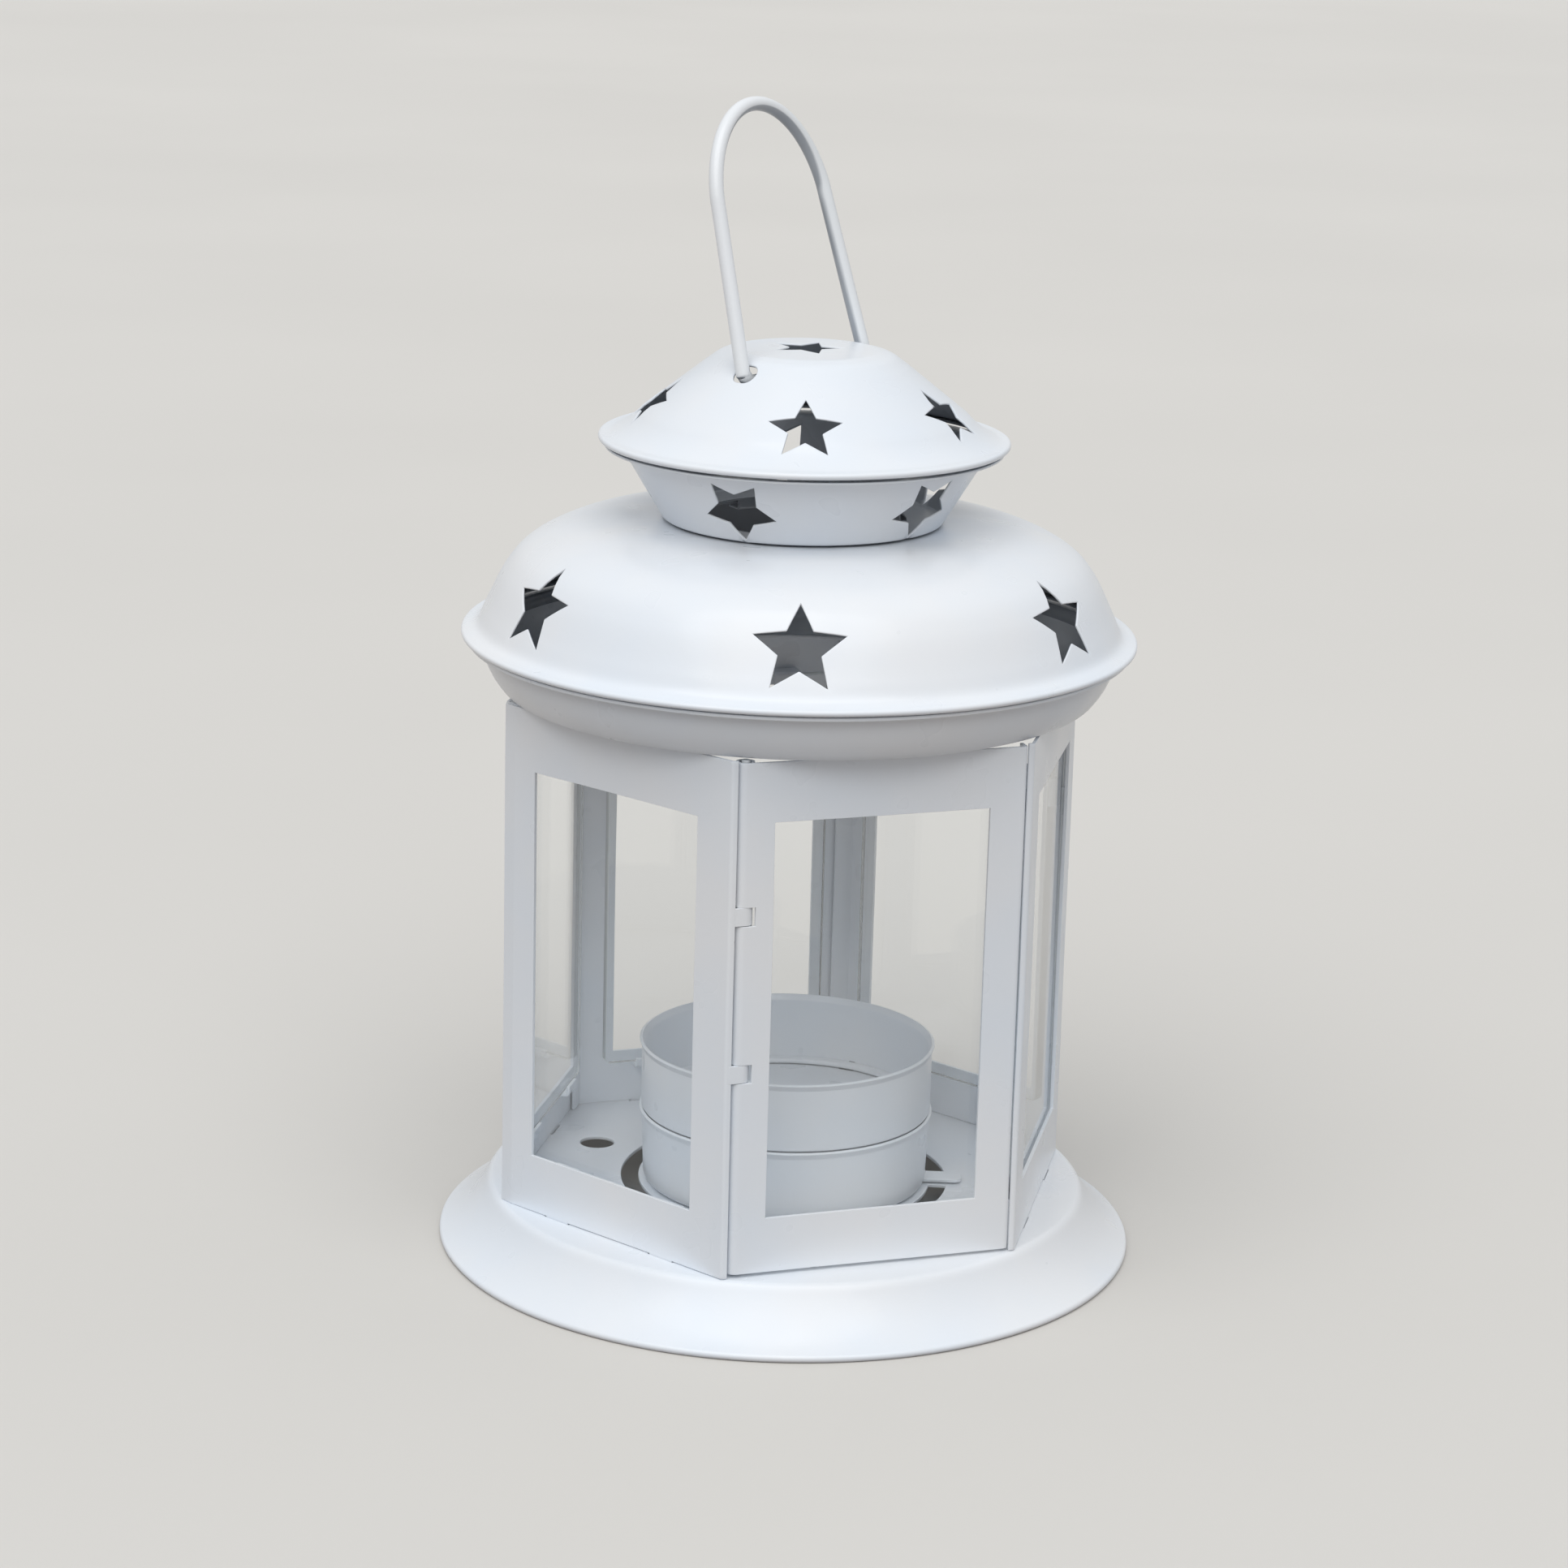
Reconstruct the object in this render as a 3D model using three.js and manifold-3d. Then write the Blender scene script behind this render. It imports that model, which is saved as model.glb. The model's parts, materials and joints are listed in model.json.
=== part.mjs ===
import * as THREE from 'three';
import { mergeVertices } from 'three/addons/utils/BufferGeometryUtils.js';
import Module from 'manifold-3d';

// Hexagonal candle lantern folded and pressed from sheet iron, with glass sides, a hinged door,
// a loose candle cup and a wire bail. Millimetres, +Z up, origin at the centre of the footprint.
// Azimuths run from the front (-Y) towards +X. A side is drawn in its own coordinates: x to the
// right as seen from outside, depth inwards from the outer face, z up.

const wasm = await Module();
wasm.setup();

// Sheet, wire, glass and clearances
const sheet = 0.6; // folded panels, tray and roof pressings
const baseSheet = 0.7;
const cupSheet = 0.6;
const glassThickness = 2;
const wireDiameter = 2.4;
const pinDiameter = 1.4;
const seat = 0.3; // clearance between pieces that rest on or hold each other

// Six-sided body
const sideCount = 6;
const hexRadius = 51.2; // to the outer corners
const doorAzimuth = 18.7; // middle of the door; the other sides follow every sixth of a turn
const panelHeight = 86.9;
const stileWidth = 7.35; // sheet left standing on each side of a window
const bottomRail = 9.7;
const topRail = 10.2;
const glassLap = 1.9; // glass hidden behind the window's edge on each side
const lapWidth = 3.6; // flange folded behind the next panel
const cornerWrap = 1; // panel edge folded round the two corners at the door
const clipWidth = 5; // clips bent out behind the rails hold the glass
const clipSpacing = 24;
const headGrip = 2.4; // how far a clip over the glass reaches down its back
const sillGrip = 1.2; // and one under it reaches up
const sideStopInset = 9; // stops beside the glass, below the top of the window
const tabWidth = 5; // tabs that pass through the floor and the tray
const tabLength = 3.6;
const lowTabSpacing = 24;
const highTabSpacing = 16;

// Base pan
const baseHeight = 10.3; // top of the raised floor
const floorMargin = 0.2; // floor beyond the corners of the body
const slopeWidth = 8.6; // edge of the floor to the rim
const slopeInset = 2.9; // how far the slope's steep upper part reaches beyond the floor
const slopeKnee = 0.42; // share of the height where the slope flares out
const slopeFoot = 1.4; // height of the slope's foot above the table
const footInset = 0.9; // slope's foot inside the rim
const floorRounding = 0.9; // edge of the floor
const rimRounding = 0.5;
const hemWidth = 2.7; // flat ring under the folded rim
const airHoleDiameter = 6;
const airHolePlace = 0.475; // share of the way from the holder's slots to the panels
const airHoleAzimuth = -113.4;
const airHoleCount = 4;

// Door hinge and stop
const curlRadius = 1.6; // outside of the edge rolled round the hinge pin
const seamPlay = 0.1;
const doorPlay = 0.3; // above and below the door
const edgeGap = 0.4; // beside the door's free edge
const doorLip = 2.6; // depth of the door's folded free edge
const knuckleHeight = 3;
const knuckleLevels = [0.4, 0.705]; // share of the panel height
const stopWidth = 4;
const stopReach = 4.4;

// Candle holder and loose cup
const holderRadius = 25;
const holderHeight = 12.6;
const holderTaper = 0.9;
const footWidth = 4.2;
const footRoot = 3; // feet run this far under the holder
const footLanding = 2.5; // feet rest on this much floor beyond the slots
const footCount = 3;
const footAzimuth = 89;
const slotWidth = 3; // curved slots in the floor round the holder
const slotInset = 0.1; // slots begin this far inside the holder's rim
const holderBend = 1.2;
const cupOverhang = 0.1; // cup's rim beyond the holder's
const cupHeight = 11.8;
const cupFootTaper = 0.5;
const cupStep = 1.3; // spigot that drops into the holder
const spigotChamfer = 0.4;
const rimRoll = 0.45;
const rimHeight = 1;

// Roof tray, roof, chimney neck and cap
const traySill = 5.2; // flat of the tray beyond the panels
const trayRing = 13.5; // width of the flat
const trayFlare = 4.1;
const trayBulge = 0.8;
const trayKnee = 0.38; // share of the height where the wall steepens
const trayHeight = 8.7;
const trayLip = 2.2;
const roofOverhang = 1; // roof's lip beyond the tray's
const roofHeight = 19.8; // lip edge to flat top
const roofLedge = 4.8; // roof's flat under the foot of the neck
const roofFlat = 1; // roof's flat beyond the neck
const neckFootRadius = 23.4;
const neckFootRing = 6;
const neckFlare = 7.1;
const neckHeight = 12.6;
const neckLip = 2.9;
const neckLipRise = 0.2;
const neckBend = 0.9;
const neckTabCount = 4;
const capOverhang = 1; // cap's lip beyond the neck's
const capSideWidth = 21.6; // cap's lip to the edge of its flat top
const capHeight = 15.6;

// Points of the two domes: share of the way in from the lip, share of the height
const roofDome = [[0.08, 0.096], [0.1265, 0.2525], [0.222, 0.56], [0.3365, 0.765], [0.537, 0.92], [0.7685, 0.987]];
const capEave = [[0.074, 0.064], [0.213, 0.141], [0.329, 0.32]];
const capShoulder = [[0.8056, 0.84], [0.926, 0.9615], [1.046, 1]];

// Stars are punched one after another from the first azimuth; the last gap takes what is left
const roofStarCount = 6;
const roofStarRadius = 7.8;
const roofStarLevel = 0.48; // share of the height
const roofStarAzimuth = -57.6;
const roofStarSpacing = 57.6;
const neckStarCount = 5;
const neckStarRadius = 6.5;
const neckStarLevel = 0.455;
const neckStarAzimuth = -23;
const neckStarSpacing = 70.5;
const capStarCount = 5;
const capStarRadius = 6.3;
const capStarLevel = 0.43;
const capStarSpacing = 68.3;
const topStarShift = 1.6; // behind the middle of the cap
const topStarTurn = -18;
const starPoints = 5;
const starWaist = 0.46; // inner to outer radius of a star
const neckStarWaist = 0.54;

// Bail
const bailAzimuth = -36.8; // hole at the front; the other one is opposite
const bailInset = 3.8; // holes beyond the edge of the cap's flat top
const bailTaper = 2; // each leg leans in by this much up to the arch
const bailArchStart = 27.05;
const bailArchHeight = 17.8;
const bailHook = 5.2; // end folded under the cap
const bailBend = 2.2;
const bailLean = 15.95; // degrees, towards the left and back
const bailHoleLength = 4.1; // along the swing
const bailHoleWidth = 3.2;
const hookDrop = 1.6; // hook's axis below the cap's surface at the hole

// How finely round forms are cut
const baseSteps = 40;
const roofSteps = 40;
const chimneySteps = 32;
const cupSteps = 28;
const wireSides = 8;
const wireSteps = 46;

// Sizes that follow
const degree = Math.PI / 180;
const sideTurn = (2 * Math.PI) / sideCount;
const apothem = hexRadius * Math.cos(sideTurn / 2);
const sideWidth = 2 * hexRadius * Math.sin(sideTurn / 2);
const windowWidth = sideWidth - 2 * stileWidth;
const panelBottom = baseHeight + seat;
const panelTop = panelBottom + panelHeight;
const windowBottom = panelBottom + bottomRail;
const windowTop = panelTop - topRail;
const glassFront = sheet + seat;
const glassBack = glassFront + glassThickness;
const clipBack = glassBack + seat;
const glassWidth = windowWidth + 2 * glassLap;
const floorRadius = hexRadius + floorMargin;
const baseRadius = floorRadius + slopeWidth;
const trayFloorRadius = apothem + traySill;
const trayThroat = trayFloorRadius - trayRing;
const trayRadius = trayFloorRadius + trayFlare;
const trayBottom = panelTop + seat;
const roofLipRadius = trayRadius + trayLip + roofOverhang;
const roofThroat = neckFootRadius - roofLedge;
const roofBottom = trayBottom + trayHeight + seat;
const roofTop = roofBottom + roofHeight;
const neckBottom = roofTop + seat;
const neckTop = neckBottom + neckHeight;
const neckTopRadius = neckFootRadius + neckFlare;
const capLipRadius = neckTopRadius + neckLip + capOverhang;
const capTopRadius = capLipRadius - capSideWidth;
const capBottom = neckTop + seat;
const capTop = capBottom + capHeight;
const bailFoot = capTopRadius + bailInset;
const bailShoulder = bailFoot - bailTaper;
const holderBottom = baseHeight + seat;
const holderTop = holderBottom + holderHeight;
const cupRadius = holderRadius + cupOverhang;
const cupBottom = holderTop + seat;
const slotInner = holderRadius - slotInset;
const slotOuter = slotInner + slotWidth;
const footReach = holderRadius + slotWidth + footLanding;
const airHoleCircle = slotOuter + (apothem - slotOuter) * airHolePlace;
const pinX = -sideWidth / 2 + cornerWrap + seamPlay + curlRadius;
const pinY = -apothem + curlRadius;

const point = (x, y) => new THREE.Vector2(x, y);

function polar(radius, azimuth, z) {
  return new THREE.Vector3(radius * Math.sin(azimuth), -radius * Math.cos(azimuth), z);
}

// Closed geometry to a solid, and back

function solid(geometry) {
  const bare = geometry.clone();
  bare.deleteAttribute('normal');
  bare.deleteAttribute('uv');
  const merged = mergeVertices(bare, 1e-4);
  const corners = merged.index.array;
  const kept = [];
  for (let i = 0; i < corners.length; i += 3) {
    const [a, b, c] = [corners[i], corners[i + 1], corners[i + 2]];
    if (a !== b && b !== c && c !== a) kept.push(a, b, c);
  }
  const vertProperties = new Float32Array(merged.attributes.position.array);
  return new wasm.Manifold(new wasm.Mesh({ numProp: 3, vertProperties, triVerts: new Uint32Array(kept) }));
}

function geometryOf(body) {
  const mesh = body.getMesh();
  const geometry = new THREE.BufferGeometry();
  geometry.setAttribute('position', new THREE.BufferAttribute(mesh.vertProperties, 3));
  geometry.setIndex(new THREE.BufferAttribute(mesh.triVerts, 1));
  geometry.computeVertexNormals();
  return geometry;
}

function join(bodies) {
  return bodies.reduce((whole, body) => whole.add(body));
}

function cut(body, tools) {
  return tools.reduce((left, tool) => left.subtract(tool), body);
}

// Lines and sheets

function bend(points, radius, steps = 3) {
  const reach = 0.45; // most that a bend takes of the straight beside it
  const line = [points[0]];
  for (let i = 1; i < points.length - 1; i++) {
    const into = points[i].clone().sub(points[i - 1]);
    const out = points[i + 1].clone().sub(points[i]);
    const shorter = Math.min(into.length(), out.length());
    const setback = Math.min(radius * Math.tan(into.angleTo(out) / 2), shorter * reach);
    const start = points[i].clone().addScaledVector(into.normalize(), -setback);
    const end = points[i].clone().addScaledVector(out.normalize(), setback);
    line.push(...new THREE.QuadraticBezierCurve(start, points[i], end).getPoints(steps));
  }
  line.push(points[points.length - 1]);
  return line;
}

// The same line moved to its left by one thickness
function offset(line, distance) {
  const sharpest = 0.5; // keeps the offset of a sharp corner short
  return line.map((here, i) => {
    const before = line[Math.max(i - 1, 0)];
    const after = line[Math.min(i + 1, line.length - 1)];
    const into = here.clone().sub(before).normalize();
    const out = after.clone().sub(here).normalize();
    if (i === 0) into.copy(out);
    if (i === line.length - 1) out.copy(into);
    const normal = point(-into.y - out.y, into.x + out.x).normalize();
    const spread = Math.max(normal.dot(point(-into.y, into.x)), sharpest);
    return here.clone().addScaledVector(normal, distance / spread);
  });
}

function thicken(line, thickness) {
  return [...line, ...offset(line, thickness).reverse()];
}

function facingOut(loop) {
  return THREE.ShapeUtils.isClockWise(loop) ? [...loop].reverse() : loop;
}

// Profile of radius and height, turned about the Z axis
function revolve(loop, steps) {
  const onAxis = loop[0].x === 0 && loop[loop.length - 1].x === 0;
  const profile = facingOut(loop);
  const lathe = new THREE.LatheGeometry(onAxis ? profile : [...profile, profile[0]], steps);
  return solid(lathe.rotateX(Math.PI / 2));
}

function upright(loop, bottom, top) {
  const shape = new THREE.Shape(facingOut(loop));
  const geometry = new THREE.ExtrudeGeometry(shape, { depth: top - bottom, bevelEnabled: false });
  return solid(geometry.translate(0, 0, bottom));
}

// Outline of y and z, as wide as its range of x
function across(loop, left, right) {
  const shape = new THREE.Shape(facingOut(loop));
  const geometry = new THREE.ExtrudeGeometry(shape, { depth: right - left, bevelEnabled: false });
  const turn = new THREE.Matrix4().makeBasis(
    new THREE.Vector3(0, 1, 0),
    new THREE.Vector3(0, 0, 1),
    new THREE.Vector3(1, 0, 0),
  );
  return solid(geometry.applyMatrix4(turn.setPosition(left, 0, 0)));
}

function block(x, y, z) {
  const geometry = new THREE.BoxGeometry(x[1] - x[0], y[1] - y[0], z[1] - z[0]);
  return solid(geometry.translate((x[0] + x[1]) / 2, (y[0] + y[1]) / 2, (z[0] + z[1]) / 2));
}

function turned(body, angle) {
  return body.rotate([0, 0, angle / degree]);
}

function around(count, first, make, spacing = (2 * Math.PI) / count) {
  return Array.from({ length: count }, (_, i) => make(first + i * spacing));
}

// Star cut-outs, square to the sheet that they pierce

function starOutline(radius, waist) {
  return Array.from({ length: 2 * starPoints }, (_, i) => {
    const reach = i % 2 ? radius * waist : radius;
    const angle = Math.PI / 2 + (i * Math.PI) / starPoints;
    return point(reach * Math.cos(angle), reach * Math.sin(angle));
  });
}

function starCutter(radius, place, azimuth, tilt, turn = 0, waist = starWaist) {
  const depth = 6 * sheet;
  const shape = new THREE.Shape(starOutline(radius, waist));
  const geometry = new THREE.ExtrudeGeometry(shape, { depth: 2 * depth, bevelEnabled: false });
  geometry.translate(0, 0, -depth);
  geometry.rotateZ(turn);
  const east = new THREE.Vector3(Math.cos(azimuth), Math.sin(azimuth), 0);
  const normal = polar(Math.cos(tilt), azimuth, Math.sin(tilt));
  const north = normal.clone().cross(east);
  const frame = new THREE.Matrix4().makeBasis(east, north, normal);
  return solid(geometry.applyMatrix4(frame.setPosition(polar(place.x, azimuth, place.y))));
}

// Place and outward tilt of a profile line at a height
function surfaceAt(line, height) {
  const i = line.findIndex((p, k) => k > 0 && (line[k - 1].y - height) * (p.y - height) <= 0);
  const [low, high] = line[i - 1].y < line[i].y ? [line[i - 1], line[i]] : [line[i], line[i - 1]];
  const share = (height - low.y) / (high.y - low.y);
  const place = low.clone().lerp(high, share);
  const tilt = Math.atan2(low.x - high.x, high.y - low.y);
  return { place, tilt };
}

// Base pan: raised floor, hollow slope and a rim folded under itself

function slot(inner, outer, from, to, bottom, top) {
  const shape = new THREE.Shape();
  shape.absarc(0, 0, outer, from, to, false);
  shape.absarc(0, 0, inner, to, from, true);
  const options = { depth: top - bottom, bevelEnabled: false, curveSegments: 8 };
  return solid(new THREE.ExtrudeGeometry(shape, options).translate(0, 0, bottom));
}

function drill(diameter, place, bottom, top, steps = 16) {
  const geometry = new THREE.CylinderGeometry(diameter / 2, diameter / 2, top - bottom, steps);
  geometry.rotateX(Math.PI / 2);
  return solid(geometry.translate(place.x, place.y, (bottom + top) / 2));
}

function tabSlots(spacing, bottom, top) {
  const side = (x) => block(
    [x - tabWidth / 2 - seat, x + tabWidth / 2 + seat],
    [-apothem - seat, -apothem + sheet + seat],
    [bottom, top],
  );
  const pair = side(-spacing / 2).add(side(spacing / 2));
  return Array.from({ length: sideCount - 1 }, (_, i) => turned(pair, sideAngle(i + 1)));
}

function sideAngle(index) {
  return doorAzimuth * degree + index * sideTurn;
}

function basePan() {
  const foot = point(baseRadius - footInset, slopeFoot);
  const knee = point(floorRadius + slopeInset, baseHeight * slopeKnee);
  const slope = new THREE.QuadraticBezierCurve(point(floorRadius, baseHeight), knee, foot).getPoints(6);
  const top = [point(0, baseHeight), point(floorRadius - floorRounding, baseHeight), ...slope.slice(1)];
  const under = offset(top, -baseSheet);
  under[0].x = 0;
  const hem = [
    point(baseRadius, slopeFoot / 2),
    point(baseRadius - rimRounding, 0),
    point(baseRadius - rimRounding - hemWidth, 0),
    point(baseRadius - baseSheet - hemWidth, baseSheet),
  ];
  const pan = revolve([...top, ...hem, ...under.reverse()], baseSteps);
  const below = baseHeight - 3 * baseSheet;
  const above = baseHeight + baseSheet;
  const halfWidth = footWidth / 2 + seat;
  const halfBridge = Math.asin(halfWidth / slotOuter);
  const start = footAzimuth * degree - Math.PI / 2;
  const slots = around(footCount, start, (a) => slot(
    slotInner, slotOuter,
    a + halfBridge, a + (2 * Math.PI) / footCount - halfBridge,
    below, above,
  ));
  const holes = around(airHoleCount, airHoleAzimuth * degree, (a) =>
    drill(airHoleDiameter, polar(airHoleCircle, a, 0), below, above));
  return cut(pan, [...slots, ...holes, ...tabSlots(lowTabSpacing, below, above)]);
}

// Side panels

function glassClip(x, edge, grip, sign) {
  const outline = [
    point(-apothem + sheet / 2, edge - sign * sheet),
    point(-apothem + clipBack + sheet, edge - sign * sheet),
    point(-apothem + clipBack + sheet, edge + sign * grip),
    point(-apothem + clipBack, edge + sign * grip),
    point(-apothem + clipBack, edge),
    point(-apothem + sheet / 2, edge),
  ];
  return across(outline, x - clipWidth / 2, x + clipWidth / 2);
}

function sideStop(side) {
  const middle = side * (glassWidth / 2 + seat + sheet / 2);
  const top = windowTop - sideStopInset;
  const deep = [-apothem + sheet / 2, -apothem + clipBack];
  return block([middle - sheet / 2, middle + sheet / 2], deep, [top - clipWidth, top]);
}

function glassClips() {
  const sill = windowBottom - glassLap - seat;
  const head = windowTop + glassLap + seat;
  return join([-1, 1].flatMap((side) => [
    glassClip((side * clipSpacing) / 2, sill, sillGrip, 1),
    glassClip((side * clipSpacing) / 2, head, headGrip, -1),
    sideStop(side),
  ]));
}

function windowCutter() {
  const half = windowWidth / 2;
  return block([-half, half], [-apothem - sheet, -apothem + sheet + seat / 2], [windowBottom, windowTop]);
}

// Bent tab: through the floor or the tray, then folded flat on its far side
function fixingTab(x, root, far, sign) {
  const fold = far + sign * (seat + sheet);
  const outline = [
    point(-apothem, root - sign * sheet),
    point(-apothem, fold),
    point(-apothem + tabLength, fold),
    point(-apothem + tabLength, fold - sign * sheet),
    point(-apothem + sheet, fold - sign * sheet),
    point(-apothem + sheet, root - sign * sheet),
  ];
  return across(outline, x - tabWidth / 2, x + tabWidth / 2);
}

function fixingTabs() {
  const low = [-1, 1].map((s) => fixingTab((s * lowTabSpacing) / 2, panelBottom, baseHeight - baseSheet, -1));
  const high = [-1, 1].map((s) => fixingTab((s * highTabSpacing) / 2, panelTop, trayBottom + sheet, 1));
  return join([...low, ...high]);
}

function sidePanel(index) {
  const besideDoorRight = index === 1;
  const besideDoorLeft = index === sideCount - 1;
  const half = sideWidth / 2;
  const inCos = Math.cos(sideTurn);
  const inSin = Math.sin(sideTurn);
  const line = [point(-half, -apothem)];
  if (besideDoorRight) line.unshift(point(-half - cornerWrap * inCos, -apothem + cornerWrap * inSin));
  if (besideDoorLeft) {
    line.push(point(half, -apothem), point(half + cornerWrap * inCos, -apothem + cornerWrap * inSin));
  } else {
    const turn = half - glassFront / inSin;
    line.push(point(turn, -apothem), point(turn + lapWidth * inCos, -apothem + lapWidth * inSin));
  }
  const skin = upright(thicken(bend(line, sheet), sheet), panelBottom, panelTop);
  const open = cut(skin, [windowCutter()]);
  const parts = [open, glassClips(), fixingTabs()];
  if (besideDoorLeft) parts.push(turned(frameKnuckles(), sideTurn));
  if (besideDoorRight) parts.push(turned(doorStops(), -sideTurn));
  return join(parts);
}

// Hinge: the door's edge is rolled round the pin between two knuckles of the panel beside it

function curlPoints(from, to, steps = 9) {
  return Array.from({ length: steps + 1 }, (_, i) => {
    const angle = (from + ((to - from) * i) / steps) * degree;
    return point(pinX + curlRadius * Math.cos(angle), pinY + curlRadius * Math.sin(angle));
  });
}

const knuckleHeights = knuckleLevels.map((share) => panelBottom + share * panelHeight);

function frameKnuckles() {
  const line = [point(-sideWidth / 2 + cornerWrap / 2, -apothem), ...curlPoints(-90, 180)];
  const loop = thicken(line, sheet);
  return join(knuckleHeights.map((z) => upright(loop, z - knuckleHeight / 2, z + knuckleHeight / 2)));
}

// Small ledges that the door's folded edge closes against
function doorStops() {
  const front = doorLip + seat;
  const middle = front + sheet / 2;
  const root = sideWidth / 2 + middle / Math.tan(sideTurn) - sheet / (2 * Math.sin(sideTurn));
  const ledge = (z) => block(
    [sideWidth / 2 - stopReach, root],
    [-apothem + front, -apothem + front + sheet],
    [z - stopWidth / 2, z + stopWidth / 2],
  );
  return ledge(windowBottom).add(ledge(windowTop));
}

function doorPanel() {
  const edge = sideWidth / 2 - cornerWrap - edgeGap;
  const leaf = bend([point(pinX, -apothem), point(edge, -apothem), point(edge, -apothem + doorLip)], sheet);
  const line = [...curlPoints(0, 270), ...leaf.slice(1)];
  const skin = upright(thicken(line, sheet), panelBottom + doorPlay, panelTop - doorPlay);
  const notches = knuckleHeights.map((z) => block(
    [-sideWidth / 2, pinX + curlRadius + seat],
    [-apothem - sheet, pinY + curlRadius + sheet],
    [z - knuckleHeight / 2 - seat, z + knuckleHeight / 2 + seat],
  ));
  return join([cut(skin, [windowCutter(), ...notches]), glassClips()]);
}

function hingePin() {
  const place = new THREE.Vector3(pinX, pinY, 0);
  return drill(pinDiameter, place, baseHeight + seat, trayBottom - seat, 12);
}

function glassPane() {
  return block(
    [-glassWidth / 2, glassWidth / 2],
    [-apothem + glassFront, -apothem + glassBack],
    [windowBottom - glassLap, windowTop + glassLap],
  );
}

// Candle holder on three feet, and the loose cup that stands in it

function candleHolder() {
  const low = holderRadius - holderTaper;
  const outer = bend([
    point(0, holderBottom),
    point(low, holderBottom),
    point(holderRadius - rimRoll, holderTop - rimHeight),
    point(holderRadius, holderTop),
  ], holderBend, 2);
  const inner = offset(outer, cupSheet);
  inner[0].x = 0;
  inner[inner.length - 1].y = holderTop;
  const bowl = revolve([...outer, ...inner.reverse()], cupSteps);
  const feet = around(footCount, footAzimuth * degree - Math.PI / 2, (a) => turned(block(
    [low - footRoot, footReach],
    [-footWidth / 2, footWidth / 2],
    [holderBottom, holderBottom + cupSheet],
  ), a));
  return join([bowl, ...feet]);
}

function candleCup() {
  const mouth = holderRadius - cupSheet;
  const spigot = mouth - rimRoll - seat;
  const rim = cupBottom + cupHeight;
  const outer = [
    point(0, cupBottom - cupStep),
    point(spigot - spigotChamfer, cupBottom - cupStep),
    point(spigot, cupBottom - cupStep + spigotChamfer),
    point(spigot, cupBottom),
    point(cupRadius - cupFootTaper, cupBottom),
    point(cupRadius - rimRoll, rim - rimHeight),
    point(cupRadius, rim),
  ];
  const floor = cupBottom - cupStep + cupSheet;
  const inner = [
    point(cupRadius - cupSheet, rim),
    point(cupRadius - rimRoll - cupSheet, rim - rimHeight),
    point(cupRadius - cupFootTaper - cupSheet, cupBottom + cupSheet),
    point(spigot - cupSheet, cupBottom + cupSheet),
    point(spigot - cupSheet, floor),
    point(0, floor),
  ];
  return revolve([...outer, ...inner], cupSteps);
}

// Roof pressings

function roofTray() {
  const wall = new THREE.QuadraticBezierCurve(
    point(trayFloorRadius, trayBottom),
    point(trayRadius - trayBulge, trayBottom + trayHeight * trayKnee),
    point(trayRadius, trayBottom + trayHeight - sheet),
  ).getPoints(5);
  const lip = point(trayRadius + trayLip, trayBottom + trayHeight - sheet);
  const outer = [point(trayThroat, trayBottom), ...wall, lip];
  const tray = revolve(thicken(outer, sheet), roofSteps);
  return cut(tray, tabSlots(highTabSpacing, trayBottom - sheet, trayBottom + 2 * sheet));
}

// Points given as shares of the way inwards and upwards
function shaped(shares, outer, inner, bottom, top) {
  return shares.map(([inwards, upwards]) => point(
    outer + (inner - outer) * inwards,
    bottom + (top - bottom) * upwards,
  ));
}

function roofLine() {
  const flat = neckFootRadius + roofFlat;
  const dome = shaped(roofDome, roofLipRadius, flat, roofBottom, roofTop);
  return [
    point(roofLipRadius, roofBottom + sheet),
    ...new THREE.SplineCurve(dome).getPoints(7),
    point(flat, roofTop),
    point(roofThroat, roofTop),
  ];
}

function lowerRoof() {
  const line = roofLine();
  const roof = revolve(thicken(line, sheet), roofSteps);
  const { place, tilt } = surfaceAt(line, roofBottom + roofHeight * roofStarLevel);
  const star = (a) => starCutter(roofStarRadius, place, a, tilt);
  return cut(roof, around(roofStarCount, roofStarAzimuth * degree, star, roofStarSpacing * degree));
}

function chimneyNeck() {
  const outer = bend([
    point(neckFootRadius - neckFootRing, neckBottom),
    point(neckFootRadius, neckBottom),
    point(neckTopRadius, neckTop - sheet - neckLipRise),
    point(neckTopRadius + neckLip, neckTop - sheet),
  ], neckBend, 2);
  const neck = revolve(thicken(outer, sheet), chimneySteps);
  const { place, tilt } = surfaceAt(outer, neckBottom + neckHeight * neckStarLevel);
  const star = (a) => starCutter(neckStarRadius, place, a, tilt, Math.PI, neckStarWaist);
  const stars = around(neckStarCount, neckStarAzimuth * degree, star, neckStarSpacing * degree);
  const under = roofTop - sheet - seat;
  const inner = roofThroat - 2 * seat - sheet;
  const tabLine = [
    point(inner, neckBottom + sheet / 2),
    point(inner, under - sheet),
    point(inner + tabLength, under - sheet),
    point(inner + tabLength, under),
    point(inner + sheet, under),
    point(inner + sheet, neckBottom + sheet / 2),
  ];
  const tab = across(tabLine, -tabWidth / 2, tabWidth / 2);
  const tabs = around(neckTabCount, sideTurn / 2, (a) => turned(tab, a));
  return join([cut(neck, stars), ...tabs]);
}

function capLine() {
  const along = (shares) => shaped(shares, capLipRadius, capTopRadius, capBottom, capTop);
  return [
    point(capLipRadius, capBottom + sheet),
    ...new THREE.QuadraticBezierCurve(...along(capEave)).getPoints(4),
    ...along(capShoulder),
    point(0, capTop),
  ];
}

const bailHoleSurface = surfaceAtRadius(capLine(), bailFoot);
const hookLevel = bailHoleSurface - hookDrop;

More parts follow.
